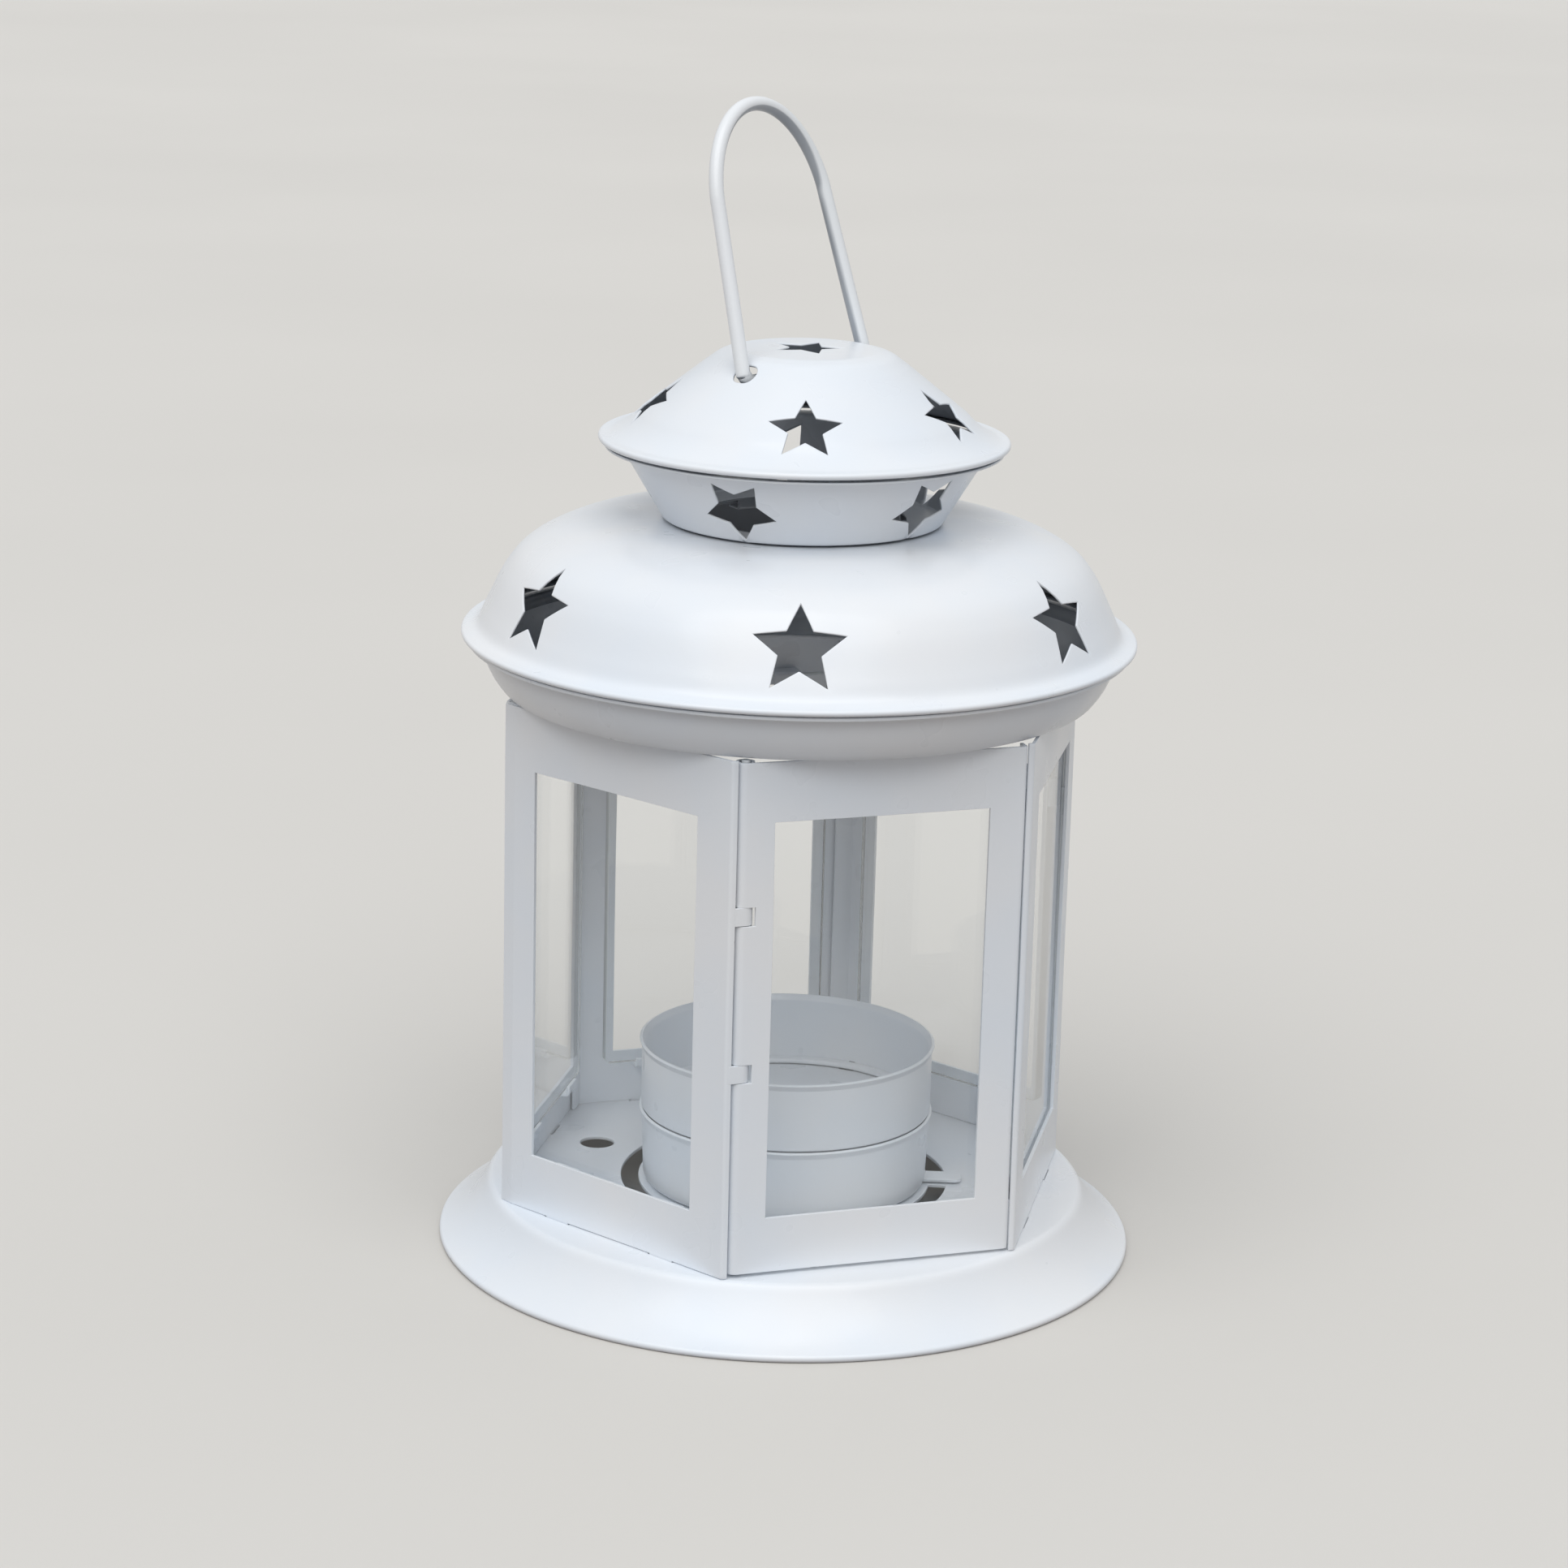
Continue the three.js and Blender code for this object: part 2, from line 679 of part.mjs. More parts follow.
// Height of a profile line at a radius
function surfaceAtRadius(line, radius) {
  const i = line.findIndex((p, k) => k > 0 && (line[k - 1].x - radius) * (p.x - radius) <= 0);
  const share = (radius - line[i - 1].x) / (line[i].x - line[i - 1].x);
  return line[i - 1].clone().lerp(line[i], share).y;
}

// Hole with round ends, longer along the bail's swing
function bailHole(azimuth) {
  const radius = bailHoleWidth / 2;
  const reach = (bailHoleLength - bailHoleWidth) / 2;
  const shape = new THREE.Shape();
  shape.absarc(reach, 0, radius, -Math.PI / 2, Math.PI / 2, false);
  shape.absarc(-reach, 0, radius, Math.PI / 2, (3 * Math.PI) / 2, false);
  const place = polar(bailFoot, azimuth, bailHoleSurface - 3 * hookDrop);
  const options = { depth: capTop + sheet - place.z, bevelEnabled: false, curveSegments: 3 };
  const geometry = new THREE.ExtrudeGeometry(shape, options).rotateZ(azimuth);
  return solid(geometry.translate(place.x, place.y, place.z));
}

function chimneyCap() {
  const outer = capLine();
  const inner = offset(outer, sheet);
  inner[inner.length - 1].x = 0;
  const cap = revolve([...outer.reverse(), ...inner], chimneySteps);
  const { place, tilt } = surfaceAt(outer, capBottom + capHeight * capStarLevel);
  const star = (a) => starCutter(capStarRadius, place, a, tilt);
  const stars = around(capStarCount, 0, star, capStarSpacing * degree);
  const topPlace = point(-topStarShift, capTop);
  const topStar = starCutter(capStarRadius, topPlace, 0, Math.PI / 2, topStarTurn * degree);
  const holes = [0, Math.PI].map((half) => bailHole(bailAzimuth * degree + half));
  return cut(cap, [...stars, topStar, ...holes]);
}

// Wire bail: hook, leg, arch, leg, hook. Drawn upright, then leaned to rest on its holes' edges

function bailPath() {
  const half = [point(bailFoot - bailBend - bailHook, 0)];
  for (let i = 0; i <= 3; i++) {
    const angle = (i / 3) * (Math.PI / 2);
    half.push(point(bailFoot - bailBend + bailBend * Math.sin(angle), bailBend - bailBend * Math.cos(angle)));
  }
  const legSteps = 3;
  for (let i = 1; i < legSteps; i++) {
    const share = i / legSteps;
    half.push(point(
      bailFoot + (bailShoulder - bailFoot) * share,
      bailBend + (bailArchStart - bailBend) * share,
    ));
  }
  const archSteps = 6;
  for (let i = 0; i < archSteps; i++) {
    const angle = (i / archSteps) * (Math.PI / 2);
    half.push(point(bailShoulder * Math.cos(angle), bailArchStart + bailArchHeight * Math.sin(angle)));
  }
  const apex = point(0, bailArchStart + bailArchHeight);
  const mirrored = half.map((p) => point(-p.x, p.y)).reverse();
  const whole = [...half, apex, ...mirrored];
  return new THREE.CatmullRomCurve3(whole.map((p) => new THREE.Vector3(p.x, 0, p.y)), false, 'centripetal');
}

function bailHandle() {
  const radius = wireDiameter / 2;
  const section = new THREE.Shape(Array.from({ length: wireSides }, (_, i) => {
    const angle = (i * 2 * Math.PI) / wireSides;
    return point(radius * Math.cos(angle), radius * Math.sin(angle));
  }));
  const wire = new THREE.ExtrudeGeometry(section, { steps: wireSteps, extrudePath: bailPath() });
  return solid(wire);
}

// Finishes

const whiteEnamel = () => new THREE.MeshStandardMaterial({ color: 0xe9edf2, roughness: 0.35, metalness: 0 });
const clearGlass = () => new THREE.MeshStandardMaterial({
  color: 0xdfeaea, roughness: 0.05, metalness: 0, transparent: true, opacity: 0.35,
});

const lantern = new THREE.Group();

function place(name, body, material, angle = 0) {
  const mesh = new THREE.Mesh(geometryOf(body), material);
  mesh.name = name;
  mesh.rotation.z = angle;
  lantern.add(mesh);
  return mesh;
}

place('base_pan', basePan(), whiteEnamel());
place('candle_holder', candleHolder(), whiteEnamel());
place('candle_cup', candleCup(), whiteEnamel());

const fixedSides = ['right', 'rear_right', 'rear', 'rear_left', 'left'];
const pane = glassPane();
fixedSides.forEach((name, i) => {
  place(`side_panel_${name}`, sidePanel(i + 1), whiteEnamel(), sideAngle(i + 1));
  place(`glass_pane_${name}`, pane, clearGlass(), sideAngle(i + 1));
});

place('door_panel', doorPanel(), whiteEnamel(), sideAngle(0));
place('door_glass', pane, clearGlass(), sideAngle(0));
place('hinge_pin', hingePin(), whiteEnamel(), sideAngle(0));

place('roof_tray', roofTray(), whiteEnamel());
place('lower_roof', lowerRoof(), whiteEnamel());
place('chimney_neck', chimneyNeck(), whiteEnamel());
place('chimney_cap', chimneyCap(), whiteEnamel());

// The bail stands in the plane of its two holes and leans away from the front
const bailTurn = new THREE.Group();
bailTurn.rotation.z = bailAzimuth * degree - Math.PI / 2;
bailTurn.position.z = hookLevel;
const bail = place('bail_handle', bailHandle(), whiteEnamel());
bail.rotation.set(bailLean * degree, 0, 0);
bailTurn.add(bail);
lantern.add(bailTurn);

export default lantern;
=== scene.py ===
import bisect
import json
import math

import bmesh
import bpy
from mathutils import Matrix, Vector, noise
from mathutils.geometry import delaunay_2d_cdt


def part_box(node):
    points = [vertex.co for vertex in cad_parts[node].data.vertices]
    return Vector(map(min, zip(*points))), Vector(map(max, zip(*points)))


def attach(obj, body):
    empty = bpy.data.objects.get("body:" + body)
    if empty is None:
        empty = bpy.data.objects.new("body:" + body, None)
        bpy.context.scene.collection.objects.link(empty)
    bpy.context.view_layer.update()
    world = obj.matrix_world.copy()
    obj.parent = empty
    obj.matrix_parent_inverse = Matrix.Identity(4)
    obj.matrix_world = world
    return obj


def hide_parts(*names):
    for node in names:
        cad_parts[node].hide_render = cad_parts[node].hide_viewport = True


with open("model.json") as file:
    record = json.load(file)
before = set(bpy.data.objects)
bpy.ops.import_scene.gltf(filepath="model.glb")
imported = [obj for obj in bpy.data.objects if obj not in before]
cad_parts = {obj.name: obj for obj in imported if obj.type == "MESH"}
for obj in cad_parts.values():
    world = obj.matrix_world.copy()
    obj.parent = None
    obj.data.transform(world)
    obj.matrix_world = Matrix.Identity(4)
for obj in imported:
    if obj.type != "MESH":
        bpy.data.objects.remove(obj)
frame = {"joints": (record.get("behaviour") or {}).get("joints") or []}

mm = 0.001
degree = math.pi / 180
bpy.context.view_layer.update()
noise.seed_set(7)  # the same unevenness each run

# Camera

cameraView = {
    "target": (-1.9 * mm, 0, 80.7 * mm),
    "distance": 705.8 * mm,
    "elevation": 15.13 * degree,
    "roll": 1.52 * degree,
    "lens": 95.2,
    "sensor": 36,
    "clip": (0.01, 60),
}


def addCamera(view):
    data = bpy.data.cameras.new("photoCamera")
    data.sensor_width = view["sensor"]
    data.lens = view["lens"]
    data.clip_start, data.clip_end = view["clip"]
    camera = bpy.data.objects.new("photoCamera", data)
    back = Vector((0, -math.cos(view["elevation"]), math.sin(view["elevation"])))
    level = Vector((1, 0, 0))
    upright = back.cross(level)
    turn, lean = math.cos(view["roll"]), math.sin(view["roll"])
    right = level * turn + upright * lean
    up = upright * turn - level * lean
    place = Matrix((right, up, back)).transposed().to_4x4()
    place.translation = Vector(view["target"]) + back * view["distance"]
    camera.matrix_world = place
    bpy.context.scene.collection.objects.link(camera)
    bpy.context.scene.camera = camera


addCamera(cameraView)
print("camera placed")

# Node trees

socketKinds = {1: "NodeSocketFloat", 3: "NodeSocketVector", 4: "NodeSocketColor"}


def startGroup(name, inputs, outputs):
    # inputs come with a first value, outputs with how many numbers they carry
    group = bpy.data.node_groups.new(name, "ShaderNodeTree")
    for label, value in inputs.items():
        kind = socketKinds[len(value) if isinstance(value, tuple) else 1]
        socket = group.interface.new_socket(label, in_out="INPUT", socket_type=kind)
        socket.default_value = value
    for label, count in outputs.items():
        group.interface.new_socket(label, in_out="OUTPUT", socket_type=socketKinds[count])
    given, result = group.nodes.new("NodeGroupInput"), group.nodes.new("NodeGroupOutput")
    return group, given.outputs, result.inputs


def fillInputs(tree, node, inputs):
    for key, value in inputs.items():
        if isinstance(value, bpy.types.NodeSocket):
            tree.links.new(value, node.inputs[key])
        else:
            node.inputs[key].default_value = value


def addNode(tree, kind, inputs=None, **settings):
    node = tree.nodes.new("ShaderNode" + kind)
    for key, value in settings.items():
        setattr(node, key, value)
    fillInputs(tree, node, inputs or {})
    return node


def placeGroup(tree, group, **inputs):
    node = tree.nodes.new("ShaderNodeGroup")
    node.node_tree = group
    fillInputs(tree, node, {key[0].upper() + key[1:]: value for key, value in inputs.items()})
    return node.outputs


def calculate(tree, operation, first, second=0.0, clamp=False):
    inputs = {0: first, 1: second}
    return addNode(tree, "Math", inputs, operation=operation, use_clamp=clamp).outputs[0]


def multiply(tree, *values, clamp=False):
    # product of all the values; only the whole product is clamped
    product = values[0]
    for k, value in enumerate(values[1:], 2):
        product = calculate(tree, "MULTIPLY", product, value, clamp and k == len(values))
    return product


def combine(tree, operation, *vectors):
    node = addNode(tree, "VectorMath", dict(enumerate(vectors)), operation=operation)
    return node.outputs["Value" if operation == "DOT_PRODUCT" else "Vector"]


def remap(tree, value, low, high, toLow=0.0, toHigh=1.0):
    ends = {"From Min": low, "From Max": high, "To Min": toLow, "To Max": toHigh}
    return addNode(tree, "MapRange", {"Value": value, **ends}).outputs["Result"]


def blendColours(tree, share, first, second):
    return addNode(tree, "Mix", {0: share, 6: first, 7: second}, data_type="RGBA").outputs[2]


def cloud(tree, vector, scale, detail, **more):
    inputs = {"Vector": vector, "Scale": scale, "Detail": detail, **more}
    return addNode(tree, "TexNoise", inputs).outputs["Fac"]


def makeToneDrift():
    # slow shift between two tones, as a sprayed coat dries
    inputs = {"Vector": (0, 0, 0), "Size": 30.0, "First": (1, 1, 1, 1), "Second": (1, 1, 1, 1)}
    group, given, result = startGroup("toneDrift", inputs, {"Color": 4})
    share = remap(group, cloud(group, given["Vector"], given["Size"], 3.0), 0.35, 0.65)
    tone = blendColours(group, share, given["First"], given["Second"])
    group.links.new(tone, result["Color"])
    return group


def makeCoatSurface():
    # orange peel, with a slower ripple under it
    inputs = {"Vector": (0, 0, 0), "Peel": 900.0, "Ripple": 110.0}
    group, given, result = startGroup("coatSurface", inputs, {"Height": 1, "Gloss": 1})
    peel = multiply(group, cloud(group, given["Vector"], given["Peel"], 1.5), 0.35)
    ripple = cloud(group, given["Vector"], given["Ripple"], 2.0)
    group.links.new(calculate(group, "ADD", peel, ripple), result["Height"])
    group.links.new(remap(group, ripple, 0.3, 0.7), result["Gloss"])
    return group


def makeEdgeWear():
    # chips along sharp edges, broken up so that only some stretches show
    inputs = {"Vector": (0, 0, 0), "Width": 0.35 * mm, "Amount": 0.5}
    group, given, result = startGroup("edgeWear", inputs, {"Chips": 1})
    rounded = addNode(group, "Bevel", {"Radius": given["Width"]}, samples=4).outputs["Normal"]
    normal = addNode(group, "NewGeometry").outputs["Normal"]
    edge = remap(group, combine(group, "DOT_PRODUCT", rounded, normal), 0.96, 0.75)
    patch = cloud(group, given["Vector"], 420.0, 4.0)
    stretch = cloud(group, given["Vector"], 60.0, 1.0)
    limit = remap(group, given["Amount"], 0.0, 1.0, 0.5, 0.22)
    past = calculate(group, "SUBTRACT", multiply(group, patch, stretch), limit)
    past = multiply(group, past, 40.0, clamp=True)
    group.links.new(multiply(group, edge, past, clamp=True), result["Chips"])
    return group


def makeCreviceDustAndShade():
    # grey dust together with painted shade: darkens where surfaces of a piece come close
    # together, as ambient occlusion finds them
    inputs = {"Vector": (0, 0, 0), "Reach": 2.5 * mm, "Amount": 0.5}
    group, given, result = startGroup("creviceDustAndShade", inputs, {"Mask": 1})
    reach = {"Distance": given["Reach"]}
    nearby = addNode(group, "AmbientOcclusion", reach, samples=6, only_local=True).outputs["AO"]
    uneven = remap(group, cloud(group, given["Vector"], 170.0, 3.0), 0.3, 0.7, 0.45, 1.0)
    closed = remap(group, nearby, 0.7, 0.1)
    mask = multiply(group, closed, uneven, given["Amount"], clamp=True)
    group.links.new(mask, result["Mask"])
    return group


def makePaintedInsideShade():
    # painted shade: dark bluish tone on the sides that face the flame, above a given height,
    # where the inside of the roof and chimney lies in shade
    inputs = {"Vector": (0, 0, 0), "Height": 0.1, "Amount": 0.5}
    group, given, result = startGroup("paintedInsideShade", inputs, {"Mask": 1})
    flame = addNode(group, "CombineXYZ", {"Z": given["Height"]}).outputs["Vector"]
    away = combine(group, "NORMALIZE", combine(group, "SUBTRACT", given["Vector"], flame))
    normal = addNode(group, "NewGeometry").outputs["Normal"]
    inward = remap(group, combine(group, "DOT_PRODUCT", away, normal), -0.12, -0.3)
    level = addNode(group, "SeparateXYZ", {0: given["Vector"]}).outputs["Z"]
    above = calculate(group, "GREATER_THAN", level, given["Height"])
    uneven = remap(group, cloud(group, given["Vector"], 45.0, 3.0), 0.3, 0.7, 0.75, 1.0)
    mask = multiply(group, inward, above, uneven, given["Amount"], clamp=True)
    group.links.new(mask, result["Mask"])
    return group


def makeGlassSmears():
    # wiped streaks on a pane, and the slow waves of its surface
    inputs = {"Vector": (0, 0, 0), "Streaks": 0.5}
    group, given, result = startGroup("glassSmears", inputs, {"Smear": 1, "Height": 1})
    stretch = {"Vector": given["Vector"], "Scale": (1.0, 1.0, 0.22)}
    drawn = addNode(group, "Mapping", stretch).outputs["Vector"]
    film = remap(group, cloud(group, drawn, 95.0, 5.0, Distortion=0.6), 0.48, 0.75)
    group.links.new(multiply(group, film, given["Streaks"]), result["Smear"])
    group.links.new(cloud(group, given["Vector"], 22.0, 0.0), result["Height"])
    return group


toneDrift = makeToneDrift()
coatSurface = makeCoatSurface()
edgeWear = makeEdgeWear()
creviceDustAndShade = makeCreviceDustAndShade()
paintedInsideShade = makePaintedInsideShade()
glassSmears = makeGlassSmears()

# Finishes

sheetCoat = {
    "cool": (0.775, 0.825, 0.885, 1),
    "warm": (0.825, 0.845, 0.87, 1),
    "toneSize": 28.0,
    "peelSize": 950.0,
    "rippleSize": 120.0,
    "peelDepth": 0.05 * mm,
    "peelStrength": 0.6,
    "roughness": (0.26, 0.4),
    "clearCoat": 0.15,
    "clearRoughness": 0.12,
    "bareMetal": (0.10, 0.095, 0.09, 1),
    "wear": 0.3,
    "wearWidth": 0.3 * mm,
    # grey of dust and of painted shade in crevices
    "dustAndShade": (0.36, 0.35, 0.34, 1),
    "dustAndShadeAmount": 0.35,
    "dustAndShadeReach": 2.2 * mm,
    "dustRoughness": 0.3,
    # painted shade on the inner sides above the tray, a dark bluish tone
    "insideShade": (0.065, 0.09, 0.13, 1),
    "insideShadeAmount": 0.72,
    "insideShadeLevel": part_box("roof_tray")[1].z - 2 * mm,
}
wireCoat = {
    **sheetCoat,
    "cool": (0.80, 0.83, 0.85, 1),
    "peelDepth": 0.03 * mm,
    "wear": 0.5,
    "dustAndShadeAmount": 0.4,
}


def newMaterial(name):
    material = bpy.data.materials.new(name)
    material.use_nodes = True
    tree = material.node_tree
    return material, tree, tree.nodes["Principled BSDF"]


def addBump(tree, shader, height, depth, strength):
    bump = addNode(tree, "Bump", {"Height": height, "Distance": depth, "Strength": strength})
    tree.links.new(bump.outputs["Normal"], shader.inputs["Normal"])


def makeWhiteCoat(name, coat):
    material, tree, shader = newMaterial(name)
    place = addNode(tree, "TexCoord").outputs["Object"]
    tones = {"size": coat["toneSize"], "first": coat["cool"], "second": coat["warm"]}
    waves = {"peel": coat["peelSize"], "ripple": coat["rippleSize"]}
    wear = {"width": coat["wearWidth"], "amount": coat["wear"]}
    dustAndShade = {"reach": coat["dustAndShadeReach"], "amount": coat["dustAndShadeAmount"]}
    insideShade = {"height": coat["insideShadeLevel"], "amount": coat["insideShadeAmount"]}
    tone = placeGroup(tree, toneDrift, vector=place, **tones)["Color"]
    surface = placeGroup(tree, coatSurface, vector=place, **waves)
    chipped = placeGroup(tree, edgeWear, vector=place, **wear)["Chips"]
    # mask of dust and painted shade in crevices, from ambient occlusion
    dustAndShadeMask = placeGroup(tree, creviceDustAndShade, vector=place, **dustAndShade)["Mask"]
    # mask of painted shade on the inner sides above the tray
    insideShadeMask = placeGroup(tree, paintedInsideShade, vector=place, **insideShade)["Mask"]
    # blends in dust with painted crevice shade, the painted inside shade, then bare metal at
    # chips
    for mask, colour in ((dustAndShadeMask, "dustAndShade"), (insideShadeMask, "insideShade"), (chipped, "bareMetal")):
        tone = blendColours(tree, mask, tone, coat[colour])
    tree.links.new(tone, shader.inputs["Base Color"])
    rough = remap(tree, surface["Gloss"], 0, 1, *coat["roughness"])
    rough = calculate(tree, "ADD", rough, multiply(tree, dustAndShadeMask, coat["dustRoughness"]))
    tree.links.new(rough, shader.inputs["Roughness"])
    addBump(tree, shader, surface["Height"], coat["peelDepth"], coat["peelStrength"])
    shader.inputs["IOR"].default_value = 1.5
    shader.inputs["Coat Weight"].default_value = coat["clearCoat"]
    shader.inputs["Coat Roughness"].default_value = coat["clearRoughness"]
    return material


paneGlass = {
    "tint": (0.985, 0.99, 0.99, 1),
    "edgeTint": (0.88, 0.94, 0.93, 1),
    "edgeRoughness": 0.65,
    "streaks": 0.35,
    "roughness": (0.0, 0.09),
    "waveDepth": 0.02 * mm,
    "waveStrength": 0.5,
}


def makeClearGlass(name, glass):
    material, tree, shader = newMaterial(name)
    coordinates = addNode(tree, "TexCoord").outputs
    place, normal = coordinates["Object"], coordinates["Normal"]
    smears = placeGroup(tree, glassSmears, vector=place, streaks=glass["streaks"])
    # the ground edges face along the pane, and not away from the lantern's axis
    away = combine(tree, "NORMALIZE", combine(tree, "MULTIPLY", place, (1, 1, 0)))
    facing = calculate(tree, "ABSOLUTE", combine(tree, "DOT_PRODUCT", away, normal))
    ground = remap(tree, facing, 0.75, 0.6)
    tint = blendColours(tree, ground, glass["tint"], glass["edgeTint"])
    tree.links.new(tint, shader.inputs["Base Color"])
    shader.inputs["Metallic"].default_value = 0
    shader.inputs["Transmission Weight"].default_value = 1
    shader.inputs["IOR"].default_value = 1.5
    wiped = remap(tree, smears["Smear"], 0, 1, *glass["roughness"])
    rough = calculate(tree, "MAXIMUM", wiped, multiply(tree, ground, glass["edgeRoughness"]))
    tree.links.new(rough, shader.inputs["Roughness"])
    addBump(tree, shader, smears["Height"], glass["waveDepth"], glass["waveStrength"])
    # light passes straight through, so that what stands behind the pane is lit
    passing = addNode(tree, "BsdfTransparent", {"Color": glass["tint"]}).outputs[0]
    path = addNode(tree, "LightPath").outputs
    lighting = calculate(tree, "MAXIMUM", path["Is Shadow Ray"], path["Is Diffuse Ray"])
    both = addNode(tree, "MixShader", {0: lighting, 1: shader.outputs[0], 2: passing}).outputs[0]
    tree.links.new(both, tree.nodes["Material Output"].inputs["Surface"])
    return material


whiteEnamel = makeWhiteCoat("whiteEnamel", sheetCoat)
enamelledWire = makeWhiteCoat("enamelledWire", wireCoat)
clearGlass = makeClearGlass("clearGlass", paneGlass)
print("finishes made")

# Lines: points of radius and height, or of x and y


def quadratic(start, control, end, steps):
    line = []
    for k in range(steps + 1):
        t = k / steps
        weights = (1 - t) ** 2, 2 * t * (1 - t), t * t
        line.append(tuple(
            weights[0] * a + weights[1] * b + weights[2] * c
            for a, b, c in zip(start, control, end)
        ))
    return line


def arc(centre, radius, start, end, steps):
    line = []
    for k in range(steps + 1):
        angle = (start + (end - start) * k / steps) * degree
        line.append((centre[0] + radius * math.cos(angle), centre[1] + radius * math.sin(angle)))
    return line


def spline(points, steps):
    # smooth line through all the points
    line = []
    last = len(points) - 1
    for k in range(last):
        near = (points[min(max(k + d, 0), last)] for d in (-1, 0, 1, 2))
        sides = list(zip(*near))
        for i in range(steps):
            t = i / steps
            line.append(tuple(
                0.5 * (2 * q + (r - p) * t + (2 * p - 5 * q + 4 * r - s) * t ** 2
                       + (3 * q - p - 3 * r + s) * t ** 3)
                for p, q, r, s in sides
            ))
    return line + [tuple(points[-1])]


def rounded(points, radius, steps=6):
    line = [points[0]]
    for before, here, after in zip(points, points[1:], points[2:]):
        into, out = Vector(here) - Vector(before), Vector(after) - Vector(here)
        setback = radius * math.tan(into.angle(out) / 2)
        setback = min(setback, into.length * 0.45, out.length * 0.45)
        start = Vector(here) - into.normalized() * setback
        end = Vector(here) + out.normalized() * setback
        line += quadratic(start, here, end, steps)
    return line + [points[-1]]


def densified(line, step):
    dense = [tuple(line[0])]
    for a, b in zip(line, line[1:]):
        parts = max(1, math.ceil(math.dist(a, b) / step - 1e-6))
        for k in range(1, parts + 1):
            dense.append(tuple(p + (q - p) * k / parts for p, q in zip(a, b)))
    return dense


def shaped(shares, outer, inner, bottom, top):
    return [(outer + (inner - outer) * s, bottom + (top - bottom) * t) for s, t in shares]


def runningLengths(line):
    lengths = [0.0]
    for a, b in zip(line, line[1:]):
        lengths.append(lengths[-1] + math.dist(a, b))
    return lengths


def pointAt(line, lengths, along):
    k = min(max(bisect.bisect_right(lengths, along) - 1, 0), len(line) - 2)
    share = (along - lengths[k]) / (lengths[k + 1] - lengths[k])
    return tuple(a + (b - a) * share for a, b in zip(line[k], line[k + 1]))


def lengthWhere(line, lengths, axis, value):
    for k, (a, b) in enumerate(zip(line, line[1:])):
        if a[axis] != b[axis] and (a[axis] - value) * (b[axis] - value) <= 0:
            share = (value - a[axis]) / (b[axis] - a[axis])
            return lengths[k] + share * (lengths[k + 1] - lengths[k])
    raise ValueError("no point of the line has that value")


def polar(radius, azimuth, height):
    return Vector((radius * math.sin(azimuth), -radius * math.cos(azimuth), height))


# Sheets: grids and cut patterns, laid out flat and then put in place


def addGrid(bm, columns, rows, place, isOpen=None):
    grid = [[bm.verts.new(place(u, v)) for v in rows] for u in columns]
    for i in range(len(columns) - 1):
        for j in range(len(rows) - 1):
            middle = ((columns[i] + columns[i + 1]) / 2, (rows[j] + rows[j + 1]) / 2)
            if isOpen is None or not isOpen(*middle):
                near, far = grid[i], grid[i + 1]
                bm.faces.new((near[j], far[j], far[j + 1], near[j + 1]))


def edgesOf(loop):
    return zip(loop, loop[1:] + loop[:1])


def isInside(point, loop):
    inside = False
    for a, b in edgesOf(loop):
        if (a[1] > point[1]) != (b[1] > point[1]):
            crossing = a[0] + (point[1] - a[1]) / (b[1] - a[1]) * (b[0] - a[0])
            inside ^= point[0] < crossing
    return inside


def gapToLoop(point, loop):
    gaps = []
    for a, b in edgesOf(loop):
        edge, reach = Vector(b) - Vector(a), Vector(point) - Vector(a)
        share = min(max(reach.dot(edge) / edge.length_squared, 0), 1)
        gaps.append((reach - edge * share).length)
    return min(gaps)


def grown(loop, margin):
    result = []
    for before, here, after in zip(loop[-1:] + loop[:-1], loop, loop[1:] + loop[:1]):
        into = (Vector(here) - Vector(before)).normalized()
        out = (Vector(after) - Vector(here)).normalized()
        normal = Vector((into.y + out.y, -into.x - out.x)).normalized()
        spread = max(normal.dot(Vector((into.y, -into.x))), 0.45)
        result.append(tuple(Vector(here) + normal * margin / spread))
    return result


def facing(loop):
    # the same loop, run so that its hole lies on the left
    area = sum(a[0] * b[1] - b[0] * a[1] for a, b in edgesOf(loop))
    return loop if area > 0 else loop[::-1]


def addPattern(bm, outline, holes, inside, place, margin):
    # a narrow ring round each hole keeps its edge even; loose points keep clear of the rings
    rings = [grown(hole, margin) for hole in holes]
    boxes = []
    for ring in rings:
        xs, ys = zip(*ring)
        boxes.append([(min(v) - 2 * margin, max(v) + 2 * margin) for v in (xs, ys)])

    def isFree(p):
        for ring, ((left, right), (low, high)) in zip(rings, boxes):
            if left < p[0] < right and low < p[1] < high:
                if isInside(p, ring) or gapToLoop(p, ring) < 1.5 * margin:
                    return False
        return True

    points, edges = [], []
    for loop in [outline, *rings]:
        first = len(points)
        points += [Vector(p) for p in loop]
        edges += [(first + k, first + (k + 1) % len(loop)) for k in range(len(loop))]
    points += [Vector(p) for p in inside if isFree(p)]
    flat, _, faces, *_ = delaunay_2d_cdt(points, edges, [], 0, 1e-8)
    verts = [bm.verts.new(place(*p)) for p in flat]
    for face in faces:
        middle = sum((flat[k] for k in face), Vector((0, 0))) / len(face)
        if not any(isInside(middle, ring) for ring in rings):
            bm.faces.new([verts[k] for k in face])
    for hole, ring in zip(holes, rings):
        inner = [bm.verts.new(place(*p)) for p in hole]
        outer = [bm.verts.new(place(*p)) for p in ring]
        for k in range(len(hole)):
            n = (k + 1) % len(hole)
            bm.faces.new((outer[k], outer[n], inner[n], inner[k]))


